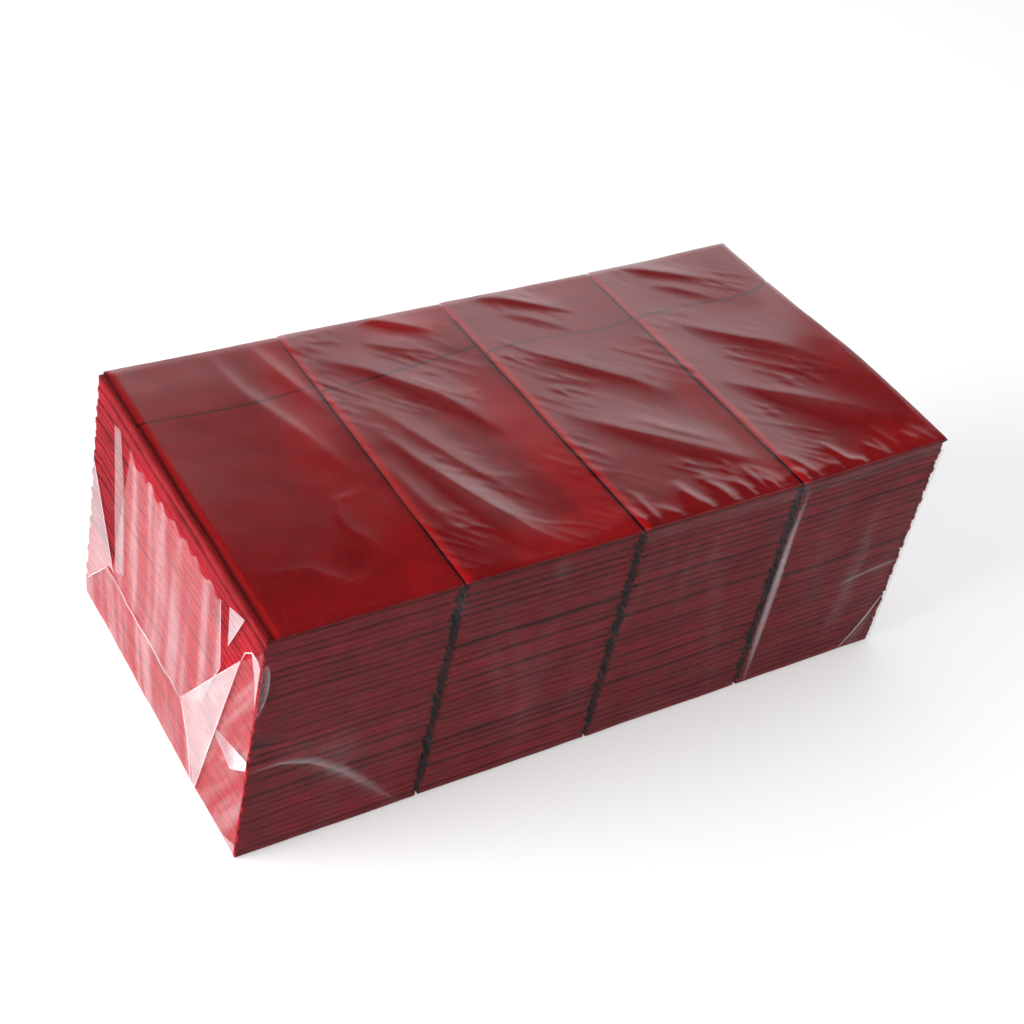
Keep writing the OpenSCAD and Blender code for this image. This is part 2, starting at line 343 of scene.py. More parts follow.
def paper_material(name, dark, light, bump, mottle):
    """Paper between a dark and a light red. The points' painted shade darkens it, or, below 0, brightens it
    as painted light.
    """
    material, tree, shader = principled(name, Roughness=0.88, Specular_IOR_Level=0.04)
    group = object_group(tree, fibres)
    group.inputs["Mottle"].default_value = mottle
    shade = named_value(tree, "shade")
    calm = times(tree, shade, CALM_RATE, clamp=True)
    even = {}
    for output, level in CALM_LEVELS.items():
        node = tree.nodes.new("ShaderNodeMix")
        tree.links.new(calm, node.inputs[0])
        tree.links.new(group.outputs[output], node.inputs[2])
        node.inputs[3].default_value = level
        even[output] = node.outputs[0]
    colour = tree.nodes.new("ShaderNodeMix")
    colour.data_type = "RGBA"
    colour.inputs[6].default_value = (*dark, 1)
    colour.inputs[7].default_value = (*light, 1)
    tree.links.new(even["Tone"], colour.inputs[0])
    toned = tree.nodes.new("ShaderNodeVectorMath")
    toned.operation = "SCALE"
    tree.links.new(colour.outputs[2], toned.inputs[0])
    tree.links.new(math_node(tree, "SUBTRACT", 1.0, shade), toned.inputs["Scale"])
    tree.links.new(toned.outputs[0], shader.inputs["Base Color"])
    relief = tree.nodes.new("ShaderNodeBump")
    relief.inputs["Strength"].default_value = bump
    relief.inputs["Distance"].default_value = 0.0004
    tree.links.new(even["Height"], relief.inputs["Height"])
    tree.links.new(relief.outputs["Normal"], shader.inputs["Normal"])
    return material


top_paper = paper_material(
    "napkin_paper_top", (0.12, 0.0012, 0.002), (0.235, 0.0036, 0.0052), bump=0.6, mottle=1.2)
edge_paper = paper_material(
    "napkin_paper_edges", (0.11, 0.0018, 0.004), (0.318, 0.0095, 0.0185), bump=0.6, mottle=1.15)
print("paper materials:", top_paper.name, edge_paper.name)

# %% [markdown]
# ## Napkins in the stacks
# From outside only the edges of the lower napkins show: in front the closed pouch bottoms, four rounded
# folds to a napkin, and at the left the long side folds. Rows of plain boxes would look like cards.
# Each napkin is drawn as a slab whose edge has four soft ridges, a valley to the next napkin that is painted
# darker as shade, and waves along its length. Neighbours share the wave between them, so they never cut into
# each other.

# %% Outline of a napkin from above
CORNER = 1.4


def outline(width, length, steps):
    """Points and outward directions round a napkin, from the front left. Steps: front, right, back, left."""
    w, l, r = width / 2, length, CORNER
    legs = (
        ((-w + r, 0), (w - r, 0), (0, -1)),
        ((w, r), (w, l - r), (1, 0)),
        ((w - r, l), (-w + r, l), (0, 1)),
        ((-w, l - r), (-w, r), (-1, 0)))
    points, normals, sides = [], [], []
    for number, (start, end, out) in enumerate(legs):
        for t in np.linspace(0, 1, steps[number] + 1):
            points.append((start[0] + (end[0] - start[0]) * t, start[1] + (end[1] - start[1]) * t))
            normals.append(out)
            sides.append(number)
        a = math.atan2(out[1], out[0]) + math.pi / 4
        mid = (end[0] - out[0] * r, end[1] - out[1] * r)
        points.append((mid[0] + r * math.cos(a), mid[1] + r * math.sin(a)))
        normals.append((math.cos(a), math.sin(a)))
        sides.append(number)
    return np.array(points), np.array(normals), np.array(sides)


# %% Room between neighbouring stacks
# Least dark gap that stays between two stacks, and how far the outer sides bulge towards the film
SEAM_SHOWS = 2.6
OUTER_SWELL = 1.1


def edge_x(s, side, y, z):
    """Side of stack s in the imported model, -1 left or 1 right, at depth y and height z."""
    return row_x[s] + side * (half_span(s) - STAGGER) + drift(s, y, z)


def swell_out(s, side, y, z, seam=SEAM_SHOWS):
    """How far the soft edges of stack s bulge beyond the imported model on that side."""
    if (s, side) in ((0, -1), (3, 1)):
        return y * 0 + OUTER_SWELL
    a, b = (s, s + 1) if side > 0 else (s - 1, s)
    room = edge_x(b, -1, y, z) - edge_x(a, 1, y, z)
    open_share = (0.2 + 0.8 * ease(z / 20)) * (1 - 1.2 * ease((y - 78) / 18))
    return np.clip((room - seam * open_share) / 2, -0.2, 3.2)


rooms = [edge_x(1, -1, -100, z) - edge_x(0, 1, -100, z) for z in (2, 75, 147)]
print("room at seam 1 in front:", [round(float(room), 1) for room in rooms])

# %% How the stacks press against the film
# Where the napkins end in front and at the back, just inside the film
FRONT_AT = PACK_D / 2 - 1.0


def right_crown(x, y):
    """How much higher the right end stands, most in its front half. X and Y run from the pack's middle."""
    return ease((x - 118) / 87) * (2.3 + 3.2 * np.exp(-((y + 30) / 56) ** 2))


def press(points, s, cx, cy, layer):
    """Squares front and back of a turned napkin up to the film, and lifts the right end of upper ones."""
    slope = math.tan(math.radians(STACK_YAW[s]))
    x, y = points[:, 0], points[:, 1]
    line = (x - cx) * slope + cy
    front = (-FRONT_AT - (line - NAPKIN_L / 2)) * ease((-y - 50) / 45)
    behind = (FRONT_AT - (line + NAPKIN_L / 2)) * ease((y - 50) / 45)
    share = (layer / (NAPKIN_COUNT - 1)) ** 2
    return np.column_stack([x, y + front + behind, points[:, 2] + right_crown(x, y) * share])


def place(s, local, layer):
    """Turns points of napkin number layer of stack s from the napkin's own X and Y into the pack's."""
    centre = BASE_Z + layer * pitch[s]
    cx = row_x[s] - STACK_LEAN[s] * (1 - centre / stack_h[s]) + STAGGER * scatter(layer + (s + 1) / 2) - MID_X
    cy = STAGGER * scatter(2 * layer + (s + 1) / 3)
    a = math.radians(STACK_YAW[s])
    x = cx + local[:, 0] * math.cos(a) - local[:, 1] * math.sin(a)
    y = cy + local[:, 0] * math.sin(a) + local[:, 1] * math.cos(a)
    return press(np.column_stack([x, y, local[:, 2]]), s, cx, cy, layer)


# %% Ridges of a napkin's edge
ROW_HEIGHT = np.array([0, 0.1, 0.25, 0.37, 0.5, 0.63, 0.75, 0.9, 1.0])
# How far each row lies behind the outermost one: front, right, back and left
ROW_INSET = np.array([
    [2.8, 0.35, 0.75, 0.15, 0.7, 0.1, 0.75, 0.3, 2.8],
    [0.7, 0.2, 0.1, 0.0, 0.0, 0.0, 0.1, 0.2, 0.7],
    [1.3, 0.3, 0.5, 0.2, 0.45, 0.2, 0.5, 0.3, 1.3],
    [1.5, 0.5, 0.7, 0.4, 0.7, 0.15, 0.0, 0.3, 1.5]])
# Painted shade: how much darker each row is painted, down in the valleys between two napkins
ROW_SHADE = np.array([0.8, 0.45, 0.05, 0.12, 0.0, 0.12, 0.0, 0.4, 0.8])
# The film pinches the left front corner: its height, and how far the napkins give way
PINCH_Z, PINCH_DEPTH = 76, 3.2


def clear_zone(y, z):
    """1 where the left end shows its red through a single ply of film, 0 under the flaps."""
    back = ease((y - 52) / 8) * ease((z - 44) / 6)
    rim = ease((z - 126) / 8)
    window = np.exp(-((y + 62) / 13) ** 4 - ((z - 124) / 13) ** 4)
    return np.clip(back + rim + window, 0, 1)


def slab(s, layer, steps, rng, shrink=1.0):
    """Points in mm, quads, cap triangles and painted shades of napkin number layer in stack s."""
    plan, out, side = outline(NAPKIN_W, NAPKIN_L, steps)
    n = len(plan)
    inset = ROW_INSET[side].T + rng.uniform(0, 0.55, (4, 9, 1))[side, :, 0].T
    if layer == 0:
        inset[0] *= 0.2
    if s == 0:
        behind = (plan[:, 0] < 8 - NAPKIN_W / 2) & (plan[:, 1] > NAPKIN_L - 8)
        inset = inset * np.where(behind, 0.3, 1)
    along = plan[:, 1] - NAPKIN_L / 2
    height = BASE_Z + layer * pitch[s]
    hidden = (s == 0) * (side == 3) * (1 - clear_zone(along, height))
    inner = np.array([0, s < 3, 0, s > 0])[side]
    inset = inset * np.where(inner, rng.uniform(0.2, 1.5), 1)
    keep = np.array([1.5, 2.6 if s < 3 else 0.15, 0.4, 2.6 if s > 0 else 0.35])
    back_off = (np.abs(rng.normal(0, 0.45, 4)).clip(0, 1.1) * keep)[side] * (0.15 if layer == 0 else 1)
    waves = ripple(plan[:, 0] + 29 * layer, plan[:, 1] + 17 * layer, 46, s + 1) * 0.28 + 0.2
    reach = -(inset + back_off + np.clip(waves, 0, 0.7))
    if s == 0:
        corner = np.exp(-((plan[:, 0] + NAPKIN_W / 2) / 13) ** 2) * (side == 0)
        pinch = corner * math.exp(-((height - PINCH_Z) / 4) ** 2)
        reach = reach - PINCH_DEPTH * pinch
    grow = np.where(plan[:, 0] > 0, swell_out(s, 1, along, height), swell_out(s, -1, along, height))
    x = plan[:, 0] * (1 + grow / (NAPKIN_W / 2)) + out[:, 0] * reach
    y = along + out[:, 1] * reach

    def bound(j):
        """Height of the boundary under napkin j: level at the base and the top, with waves between."""
        free = math.sin(math.pi * min(j, NAPKIN_COUNT - 1) / (NAPKIN_COUNT - 1)) ** 0.5
        swell = ripple(plan[:, 0] + 5 * j, plan[:, 1] - 4 * j, 70, 7 * s + 2) * 0.62
        return BASE_Z + j * pitch[s] + free * (swell + 0.3 * scatter(5 * j + s))

    loose = ripple(plan[:, 0] + 61 * layer, plan[:, 1] - 40 * layer, 55, 3 * s + 5)
    gap = 0.08 + 0.6 * np.clip(loose + 0.25, 0, 1)
    low, high = bound(layer) + gap / 2, bound(layer + 1) - gap / 2
    z = low + ROW_HEIGHT[:, None] * (high - low) * shrink
    rims = np.stack([x, y, z], axis=2).reshape(-1, 3)
    centres = [(0, 0, low.mean()), (0, 0, z[-1].mean() - 0.4)]
    points = place(s, np.concatenate([rims, centres]), layer)
    quads = [(r * n + i, r * n + (i + 1) % n, (r + 1) * n + (i + 1) % n, (r + 1) * n + i)
             for r in range(len(ROW_HEIGHT) - 1) for i in range(n)]
    caps = [((i + 1) % n, i, 9 * n) for i in range(n)]
    caps += [(8 * n + i, 8 * n + (i + 1) % n, 9 * n + 1) for i in range(n)]
    # Painted shade: the rows down in the valleys between napkins, and the sides that face a neighbouring
    # stack, are painted darker; each napkin also gets a small random tone.
    depth = rng.uniform(0.5, 1.1) * np.where(side == 3, 0.7, 1)
    shade = ROW_SHADE[:, None] * depth[None, :] + 0.5 * inner[None, :] + rng.uniform(-0.08, 0.08)
    # On the left end of the first stack, painted light brightens the paper under the flaps and the whole left
    # side a little, and calms its valley shade there; painted shade darkens the pinched corner.
    if s == 0:
        shade = shade * (1 - 0.88 * hidden) - 0.36 * hidden - 0.12 * (side == 3)
        shade = shade + 0.7 * pinch
    return points, quads, caps, np.append(shade.ravel(), [0, 0])


# %% Build the four stacks
def build_stack(s):
    rng = np.random.default_rng(41 + s)
    steps = (30, 40 if s == 3 else 12, 20, 40 if s == 0 else 12)
    parts = [slab(s, layer, steps, rng) for layer in range(NAPKIN_COUNT - 1)]
    name = f"stack_{s + 1}"
    napkin_piece(name, name + "_napkins", parts, edge_paper)


for s in range(4):
    build_stack(s)

# %% [markdown]
# ## Top napkins
# The napkin on top of each stack shows what it is: the pouch is a leaf that ends a little before the
# back edge, and its free edge, the mouth, crosses the napkin as a fine wavy line. Drawing that line
# on a flat slab would look printed. Here the lower panels, the long leaf and the pouch leaf are three
# separate soft sheets, one on another, so the mouth and the side folds throw their own fine shadows.
# The groove at the mouth and the rims of the leaves are also painted darker, as painted shade, and the
# fold at the left of each top napkin gets a painted highlight.

# %% A soft leaf of paper
# The rim of a leaf: how far down its thickness each ring lies, how far out in mm, and its painted shade
LEAF_RIM = ((0.35, 0.35, 0.1), (0.6, 0.28, 0.8))


def leaf(xs, ys, top, shade, thick):
    """A closed thin sheet over a grid of plan coordinates, with the painted shade of each point; its rim and
    underside are painted dark.
    """
    nv, nu = xs.shape
    count = nu * nv
    index = np.arange(count).reshape(nv, nu)
    points = [np.stack([xs, ys, top], axis=2).reshape(-1, 3)]
    shades = [shade.ravel()]
    quads = grid_faces(nv, nu)
    ring = [(0, i) for i in range(nu)] + [(j, nu - 1) for j in range(1, nv)]
    ring += [(nv - 1, i) for i in range(nu - 2, -1, -1)] + [(j, 0) for j in range(nv - 2, 0, -1)]
    loop = [int(index[j, i]) for j, i in ring]
    out = np.array([((i == nu - 1) * 1.0 - (i == 0), (j == nv - 1) * 1.0 - (j == 0)) for j, i in ring])
    for drop, reach, dark in LEAF_RIM:
        rim = points[0][loop]
        rim[:, :2] += out * reach
        rim[:, 2] -= thick * drop
        points.append(rim)
        shades.append(np.full(len(rim), dark))
    # The underside is painted almost black: painted shade.
    points.append(points[0] - (0, 0, thick))
    shades.append(np.full(count, 0.95))
    n = len(loop)
    under = count + 2 * n
    rings = [loop] + [[count + level * n + k for k in range(n)] for level in range(2)]
    rings.append([under + k for k in loop])
    below = [tuple(under + i for i in reversed(face)) for face in quads]
    for upper, lower in zip(rings[:-1], rings[1:]):
        quads += [(upper[k], lower[k], lower[(k + 1) % n], upper[(k + 1) % n]) for k in range(n)]
    return np.concatenate(points), quads + below, [], np.concatenate(shades)


# %% Build the top napkins
# How far the side fold of the lower panels shows beyond the pouch, at the left of each stack
FOLD_SHOWS = (3.2, 0.5, 0.4, 0.4)
# The mouth line of each stack: how far it wanders from straight, at five places from left to right
MOUTH_WANDER = (
    (0.8, 0.3, -0.6, 0.4, 2.6),
    (-3.2, -2.6, -0.4, 2.2, 5.0),
    (-1.6, -0.2, -1.8, -4.2, -1.0),
    (-1.4, -0.3, -2.2, -4.6, 2.4))
# Thickness of a leaf, and how deep the groove at the mouth is
LEAF_T = 0.85
MOUTH_DEPTH = 0.9


def mouth_line(s, u):
    """How far the mouth of stack s wanders at share u of its width, smoothly through the five places."""
    return np.polyval(np.polyfit(np.linspace(0, 1, 5), MOUTH_WANDER[s], 4), u)[None, :]


# Painted light: patches where the red of a top napkin is painted brighter, where the film clings: napkin, X
# from its middle and Y from the front in mm, the two radii, the slant, and how much brighter
PAINTED_GLOWS = (
    (0, 36, 150, 15, 75, -0.22, 0.4), (0, 38, 40, 14, 45, 0.0, 0.3), (0, -10, 12, 50, 12, 0.0, 0.1),
    (1, 22, 188, 26, 12, 0.0, 0.45), (1, 38, 70, 15, 62, 0.1, 0.6), (1, 12, 12, 34, 14, 0.0, 0.35),
    (2, 40, 60, 10, 70, 0.0, 0.2), (2, 10, 190, 34, 8, 0.0, 0.15), (3, 20, 8, 40, 10, 0.0, 0.15))


def painted_glow(s, x, y):
    """How much brighter the red of a top napkin is painted at a point: painted light."""
    total = 0 * x
    for number, gx, gy, rx, ry, slant, amount in PAINTED_GLOWS:
        if number == s:
            across = (x - gx + slant * (y - gy)) / rx
            total = total + amount * np.exp(-across ** 4 - ((y - gy) / ry) ** 4)
    return total * (1 + 0.25 * ripple(x, y, 16, 4 + s))


def napkin_leaf(s, kind):
    """The long leaf or the shorter pouch leaf of the top napkin of stack s, in the napkin's own place."""
    pouch = kind == "pouch"
    left = -NAPKIN_W / 2 + FOLD_SHOWS[s]
    width = NAPKIN_W / 2 - 0.3 - left
    u = np.concatenate([np.linspace(0, 0.05, 6)[:-1], np.linspace(0.05, 1, 42)])
    close = np.linspace(0.98, 0.995, 4) if pouch else np.linspace(0.75, 0.79, 16)
    v = np.sort(np.concatenate([np.linspace(0, 1, 84), close]))
    uu, vv = np.meshgrid(u, v)
    inset = 0.35 if pouch else 0
    depth = NAPKIN_L * vv - 100
    grow = uu * swell_out(s, 1, depth, LOW_H, 0.9) - (1 - uu) * swell_out(s, -1, depth, LOW_H, 0.9)
    xs = left + inset + (width - 2 * inset) * uu + grow
    mouth = NAPKIN_L - MOUTH_INSET + mouth_line(s, u)
    end = mouth if pouch else NAPKIN_L - 0.6
    ys = 0.4 + inset + (end - 0.4 - inset) * vv
    xs = xs + 0.35 * ripple(ys, ys * 0, 60, 3 + s) * (1 - uu) * (0.8 if pouch else 1)
    swell = 0.16 * ripple(xs, ys, 45, 11 + s) + 0.05 * ripple(xs, ys, 13, 17 + s)
    from_left = width * uu
    side_off = 1.05 * (1 - from_left / 3.6).clip(0, 1) ** 1.6 + 0.4 * (1 - ease(width * (1 - uu) / 2))
    side_off = side_off * (0.25 + 0.75 * ease((NAPKIN_L - ys) / 10))
    round_off = side_off + 0.6 * (1 - ease(ys / 2.6)) + 0.22 * (1 - np.cos(2 * np.pi * uu)) / 2
    ceiling = BASE_Z + NAPKIN_COUNT * pitch[s] - LAYER_GAP
    zs = ceiling - (0.12 if pouch else 0.62) - 0.1
    zs = zs + np.clip(swell, -0.3, 0.1) - round_off * (1 if pouch else 0.7)
    # Painted shade and painted highlight at the left fold: on the first stack a dark line at the edge with a
    # brighter red band beside it, on the others a brighter red strip.
    if s == 0:
        rim = 0.95 * np.exp(-(from_left / 1.15) ** 2) - 0.45 * np.exp(-((from_left - 2.8) / 1.1) ** 2)
    else:
        rim = -0.7 * (1 - from_left / 3.2).clip(0, 1) ** 0.7
    shade = rim - painted_glow(s, xs, ys)
    if pouch:
        zs = zs + 0.2 * ease((ys - end + 5) / 5) * (0.6 + 0.4 * ripple(xs, ys * 0, 30, s))
    else:
        groove = np.exp(-((ys - mouth - 0.9) / 1.1) ** 2)
        zs = zs - MOUTH_DEPTH * groove
        # Painted shade: the groove at the mouth is painted darker.
        shade = shade + 0.9 * groove
    return leaf(xs, ys - NAPKIN_L / 2, zs, shade, LEAF_T)


def build_top(s):
    layer = NAPKIN_COUNT - 1
    rng = np.random.default_rng(90 + s)
    parts = [slab(s, layer, (30, 40, 20, 40), rng, shrink=0.45)]
    for kind in ("long", "pouch"):
        points, quads, caps, shades = napkin_leaf(s, kind)
        parts.append((place(s, points, layer), quads, caps, shades))
    name = f"top_napkin_{s + 1}"
    napkin_piece(name, name + "_folded", parts, top_paper)


for s in range(4):
    build_top(s)

# %% [markdown]
# ## Clear film
# The wrapper is a thin clear plastic film. What shows of it is its gloss: it mirrors a little of the
# bright room, most where it is seen at a slant, and it turns milky where it lies in two or more plies.
# Glass shading would bend the light like a thick block, so the film is see-through by its alpha, which
# rises with the slant. One value stored at each point, plies, says how milky the film is there, and a
# second one, gloss, says how strongly it mirrors.

# %% Node group for the milkiness of the film
haze_group, h_in, h_out = node_group(
    "film_haze",
    [("Point", "NodeSocketVector", None), ("Plies", "NodeSocketFloat", 0.0)],
    [("Haze", "NodeSocketFloat"), ("Grain", "NodeSocketFloat")])
smear = noise_node(haze_group, h_in.outputs["Point"], 45, 3, 0.6)
grain = noise_node(haze_group, h_in.outputs["Point"], 300, 2)
patchy = times(haze_group, h_in.outputs["Plies"], plus(haze_group, smear, 0.5))
haze_group.links.new(patchy, h_out.inputs["Haze"])
haze_group.links.new(plus(haze_group, times(haze_group, grain, 0.05), 0.04), h_out.inputs["Grain"])
print("film group:", [s.name for s in haze_group.interface.items_tree])

# %% Film material
# Share that the film mirrors: how sharply it rises with the slant, how far, and what it is straight on
MIRROR_POWER, MIRROR_RISE, MIRROR_BASE = 3.6, 0.92, 0.08


def film_material(name):
    """See-through film. What isn't clear is part mirror, by the points' gloss, and part milky haze."""
    material, tree, shader = principled(name, Base_Color=(0.93, 0.91, 0.94, 1))
    material.use_backface_culling = False
    slant = tree.nodes.new("ShaderNodeLayerWeight")
    slant.inputs["Blend"].default_value = 0.5
    group = object_group(tree, haze_group)
    tree.links.new(named_value(tree, "plies"), group.inputs["Plies"])
    curve = times(tree, math_node(tree, "POWER", slant.outputs["Facing"], MIRROR_POWER), MIRROR_RISE)
    mirror = times(tree, plus(tree, curve, MIRROR_BASE), named_value(tree, "gloss"))
    solid = plus(tree, mirror, group.outputs["Haze"], clamp=True)
    tree.links.new(solid, shader.inputs["Alpha"])
    share = math_node(tree, "DIVIDE", mirror, math_node(tree, "MAXIMUM", solid, 0.001), clamp=True)
    tree.links.new(share, shader.inputs["Metallic"])
    tree.links.new(group.outputs["Grain"], shader.inputs["Roughness"])
    return material


clear_film = film_material("clear_film")
print("film material:", clear_film.name)

# %% [markdown]
# ## Places on the film
# The film follows the pack: its ends lean with the outer stacks and its top rises to the right. To keep
# that simple, every piece of film is first drawn on a straight box and then carried over to the real
# shape. Top, front and back take X along the row, the ends take Y, and out is the height above the film.

# %% From the straight box to the pack
# Sizes of the straight box, and how round its edges are
BOX_W, BOX_D, BOX_H = 408.0, PACK_D, 150.0
EDGE_R = 1.3


def to_pack(points):
    """Carries points of the straight box (X from 0, Y from the middle, Z from 0) over to the pack, in mm."""
    p = np.asarray(points, dtype=float)
    part = p[:, 0] / BOX_W
    height = p[:, 2] / BOX_H
    z_left = height * film_top(end_x(-1, 0, LOW_H))
    z_right = height * film_top(end_x(1, 0, LOW_H))
    x = (1 - part) * end_x(-1, p[:, 1], z_left) + part * end_x(1, p[:, 1], z_right)
    crown = right_crown(x - MID_X, p[:, 1]) * np.clip(height, 0, 1) ** 3
    return np.stack([x - MID_X, p[:, 1], height * film_top(x) + crown], axis=1)


def seam_x(s, y, z):
    """Place along the straight box of the seam right of stack s, at depth y and height z."""
    x = row_x[s] + half_span(s) - STAGGER + drift(s, y, z)
    left = end_x(-1, y, z)
    return (x - left) / (end_x(1, y, z) - left) * BOX_W


print("seams in front:", [round(float(seam_x(s, -100, LOW_H)), 1) for s in range(3)])

# %% A drawn wrinkle
def wrinkle(x, y, path, height, near, far):
    """Height of a ridge along a path of points. Near and far are its widths on its left and on its right."""
    path = np.asarray(path, dtype=float)
    legs = np.diff(path, axis=0)
    lengths = np.hypot(legs[:, 0], legs[:, 1])
    total = lengths.sum()
    best = np.full(np.shape(x), 1e9)
    side = np.zeros(np.shape(x))
    along = np.zeros(np.shape(x))
    start = 0.0
    for (ax, ay), (dx, dy), size in zip(path[:-1], legs, lengths):
        t = np.clip(((x - ax) * dx + (y - ay) * dy) / size ** 2, 0, 1)
        off_x, off_y = x - ax - t * dx, y - ay - t * dy
        away = np.hypot(off_x, off_y)
        closer = away < best
        best = np.where(closer, away, best)
        side = np.where(closer, dx * off_y - dy * off_x, side)
        along = np.where(closer, (start + t * size) / total, along)
        start += size
    width = np.where(side > 0, near, far)
    swell = np.sin(np.pi * np.clip(along, 0, 1)) ** 1.3
    return height * swell * np.exp(-((best / width) ** 2 + 0.01) ** 0.6 + 0.063)


def add_wrinkles(h, x, y, wrinkles, gain=1, wide=1):
    """Adds to h a list of wrinkles, their heights times gain and their widths times wide."""
    for path, height, near, far in wrinkles:
        h = h + gain * wrinkle(x, y, path, height, near * wide, far * wide)
    return h


def streaks(x, y, turn, size, seed):
    """Fine sharp creases, about six times as long as they are wide, along a direction in degrees."""
    c, s = math.cos(math.radians(turn)), math.sin(math.radians(turn))
    wave = ripple((x * c + y * s) * 0.17, y * c - x * s, size, seed)
    return np.clip(1 - np.abs(wave) / 0.3, 0, 1) ** 1.5


# %% [markdown]
# ## The film's skin
# The sheet is drawn tight round the pack, so it is nearly flat, with slow swells over the stacks and
# long diagonal wrinkles on the top. Cloth simulation would need a very fine mesh for such a stiff sheet.
# A fine grid on each face is moved outwards by a sum of drawn wrinkles, which can be put exactly where
# the photograph shows them.

# %% Wrinkles of the top
# Each wrinkle: its path in mm from the pack's left back corner (X along the row, Y towards the front),
# then its height, and its width on either side
TOP_WRINKLES = [
    (((146, 0), (160, 9), (186, 26)), 0.8, 4, 9),
    (((140, 22), (152, 30), (176, 44)), 0.35, 4, 8),
    (((108, 26), (134, 46), (160, 78), (180, 122)), 0.9, 6, 12),
    (((116, 66), (128, 92), (142, 128), (164, 172)), 0.5, 5, 9),
    (((112, 86), (122, 120), (136, 160), (150, 204)), 0.85, 5, 10),
    (((124, 120), (134, 150), (150, 184), (166, 206)), 0.8, 5, 8),
    (((104, 108), (110, 150), (120, 190)), 0.4, 6, 8),
    (((216, 0), (240, 12), (276, 36)), 0.9, 5, 10),
    (((226, 20), (244, 32), (266, 52)), 0.35, 4, 8),
    (((216, 50), (238, 70), (268, 98), (286, 122)), 0.75, 7, 13),
    (((212, 110), (238, 134), (268, 160), (300, 186)), 0.95, 6, 11),
    (((240, 120), (262, 142), (290, 166)), 0.4, 4, 6),
    (((314, 0), (338, 12), (376, 36)), 0.9, 5, 10),
    (((326, 22), (346, 34), (366, 52)), 0.35, 4, 8),
    (((314, 54), (338, 74), (366, 98), (386, 122)), 0.7, 7, 13),
    (((312, 112), (338, 136), (366, 160), (398, 186)), 0.95, 6, 11),
    (((80, 0), (88, 34), (98, 76)), 0.4, 8, 4),
    (((56, 0), (62, 40), (78, 84), (90, 128)), 0.42, 14, 5),
    (((96, 122), (84, 130), (70, 132), (66, 142), (66, 152), (72, 164), (76, 182)), 0.17, 1.6, 4),
    (((76, 182), (64, 183), (50, 186), (36, 170), (20, 168), (8, 164)), 0.17, 4, 1.6)]


def stack_share(x, y):
    """Place across the stack under a point of the top, from 0 at its left seam to 1 at its right."""
    seams = [0 * x] + [seam_x(s, PACK_D / 2 - y, LOW_H) for s in range(3)] + [0 * x + BOX_W]
    share = 0 * x
    for left, right in zip(seams[:-1], seams[1:]):
        inside = (x >= left) & (x <= right)
        share = np.where(inside, (x - left) / (right - left), share)
    return share


def gather_paths():
    """Short puckers over the front top edge of the right half, each with a height."""
    rng = np.random.default_rng(12)
    paths = []
    for s in (2, 3):
        start = float(seam_x(s - 1, -100, LOW_H))
        for u in (0.05, 0.13, 0.25, 0.36, 0.44, 0.56, 0.62, 0.71, 0.79, 0.86, 0.93):
            x = start + u * 98 + rng.uniform(-2.5, 2.5)
            reach = rng.uniform(11, 20) + (8 if rng.uniform() > 0.65 else 0)
            turn = rng.uniform(1, 12)
            path = ((x + 1, BOX_D + 4), (x, BOX_D - 4), (x - turn * 0.3, BOX_D - reach * 0.5),
                    (x - turn, BOX_D - reach))
            height, near, far = rng.uniform(0.25, 0.65), rng.uniform(1.6, 3.0), rng.uniform(3.0, 6.5)
            paths.append((path, height, near, far))
    return paths


GATHERS = gather_paths()


def top_relief(x, y):
    """Height of the film above its straight top: x from the left, y from the back."""
    h = 0.17 * ripple(x, y, 100, 21) + 0.025 * ripple(x, y, 34, 5)
    h = add_wrinkles(h, x, y, TOP_WRINKLES)
    share = stack_share(x, y)
    loose = np.clip(0.35 + 0.9 * ripple(x, y, 60, 14), 0, 1)
    loose = loose * ease((x - 92) / 12) * (1 - ease((share - 0.5) / 0.4) * 0.6)
    h = h + loose * (0.15 * streaks(x, y, 42, 15, 3) + 0.05 * streaks(x, y, 52, 8, 8))
    return h + 0.62 * (2 * share - 1) ** 2 + 0.3 * (1 - ease((y - 145) / 55))


def gathers(x, s):
    """Puckers at the front top edge. s is the way from the edge, up on the top and down in front."""
    h = add_wrinkles(0 * x, x, BOX_D - s, GATHERS)
    fall = np.where(s > 0, 1, ease((s + 12) / 12) * 0.6)
    return h * fall * (1 - ease((x - 400) / 4))


# %% Wrinkles of the front
# As above, with paths in mm of X from the left and Z from the floor
FRONT_WRINKLES = [
    (((0, 68), (28, 62), (58, 36), (86, 1)), 0.9, 5, 2),
    (((6, 80), (40, 66), (80, 44)), 0.4, 6, 4),
    (((383, 1), (391, 16), (399, 34)), 1.0, 2.2, 3),
    (((366, 64), (384, 66), (404, 67)), 0.7, 2.5, 3),
    (((122, 140), (127, 100), (150, 20)), 0.35, 3, 5),
    (((214, 147), (210, 100), (202, 60)), 0.35, 3, 4),
    (((226, 147), (226, 120), (224, 90)), 0.4, 2.5, 3.5),
    (((240, 147), (239, 118), (242, 70)), 0.4, 3, 3),
    (((258, 147), (254, 112), (246, 84)), 0.4, 2.5, 4),
    (((330, 140), (336, 90), (350, 30)), 0.35, 4, 6),
    (((360, 90), (372, 50), (368, 10)), 0.4, 4, 6),
    (((99, 149), (100, 142), (104, 128)), 0.7, 2, 3),
    (((155, 150), (156, 143), (158, 132)), 0.8, 2, 3)]


def front_relief(x, z):
    h = 0.25 * ripple(x, z, 80, 31) + 0.07 * ripple(x, z, 22, 9)
    h = add_wrinkles(h, x, z, FRONT_WRINKLES)
    notch = np.exp(-((x - 6) / 7) ** 2 - ((z - PINCH_Z) / 5) ** 2)
    return h + 0.35 - 1.0 * notch


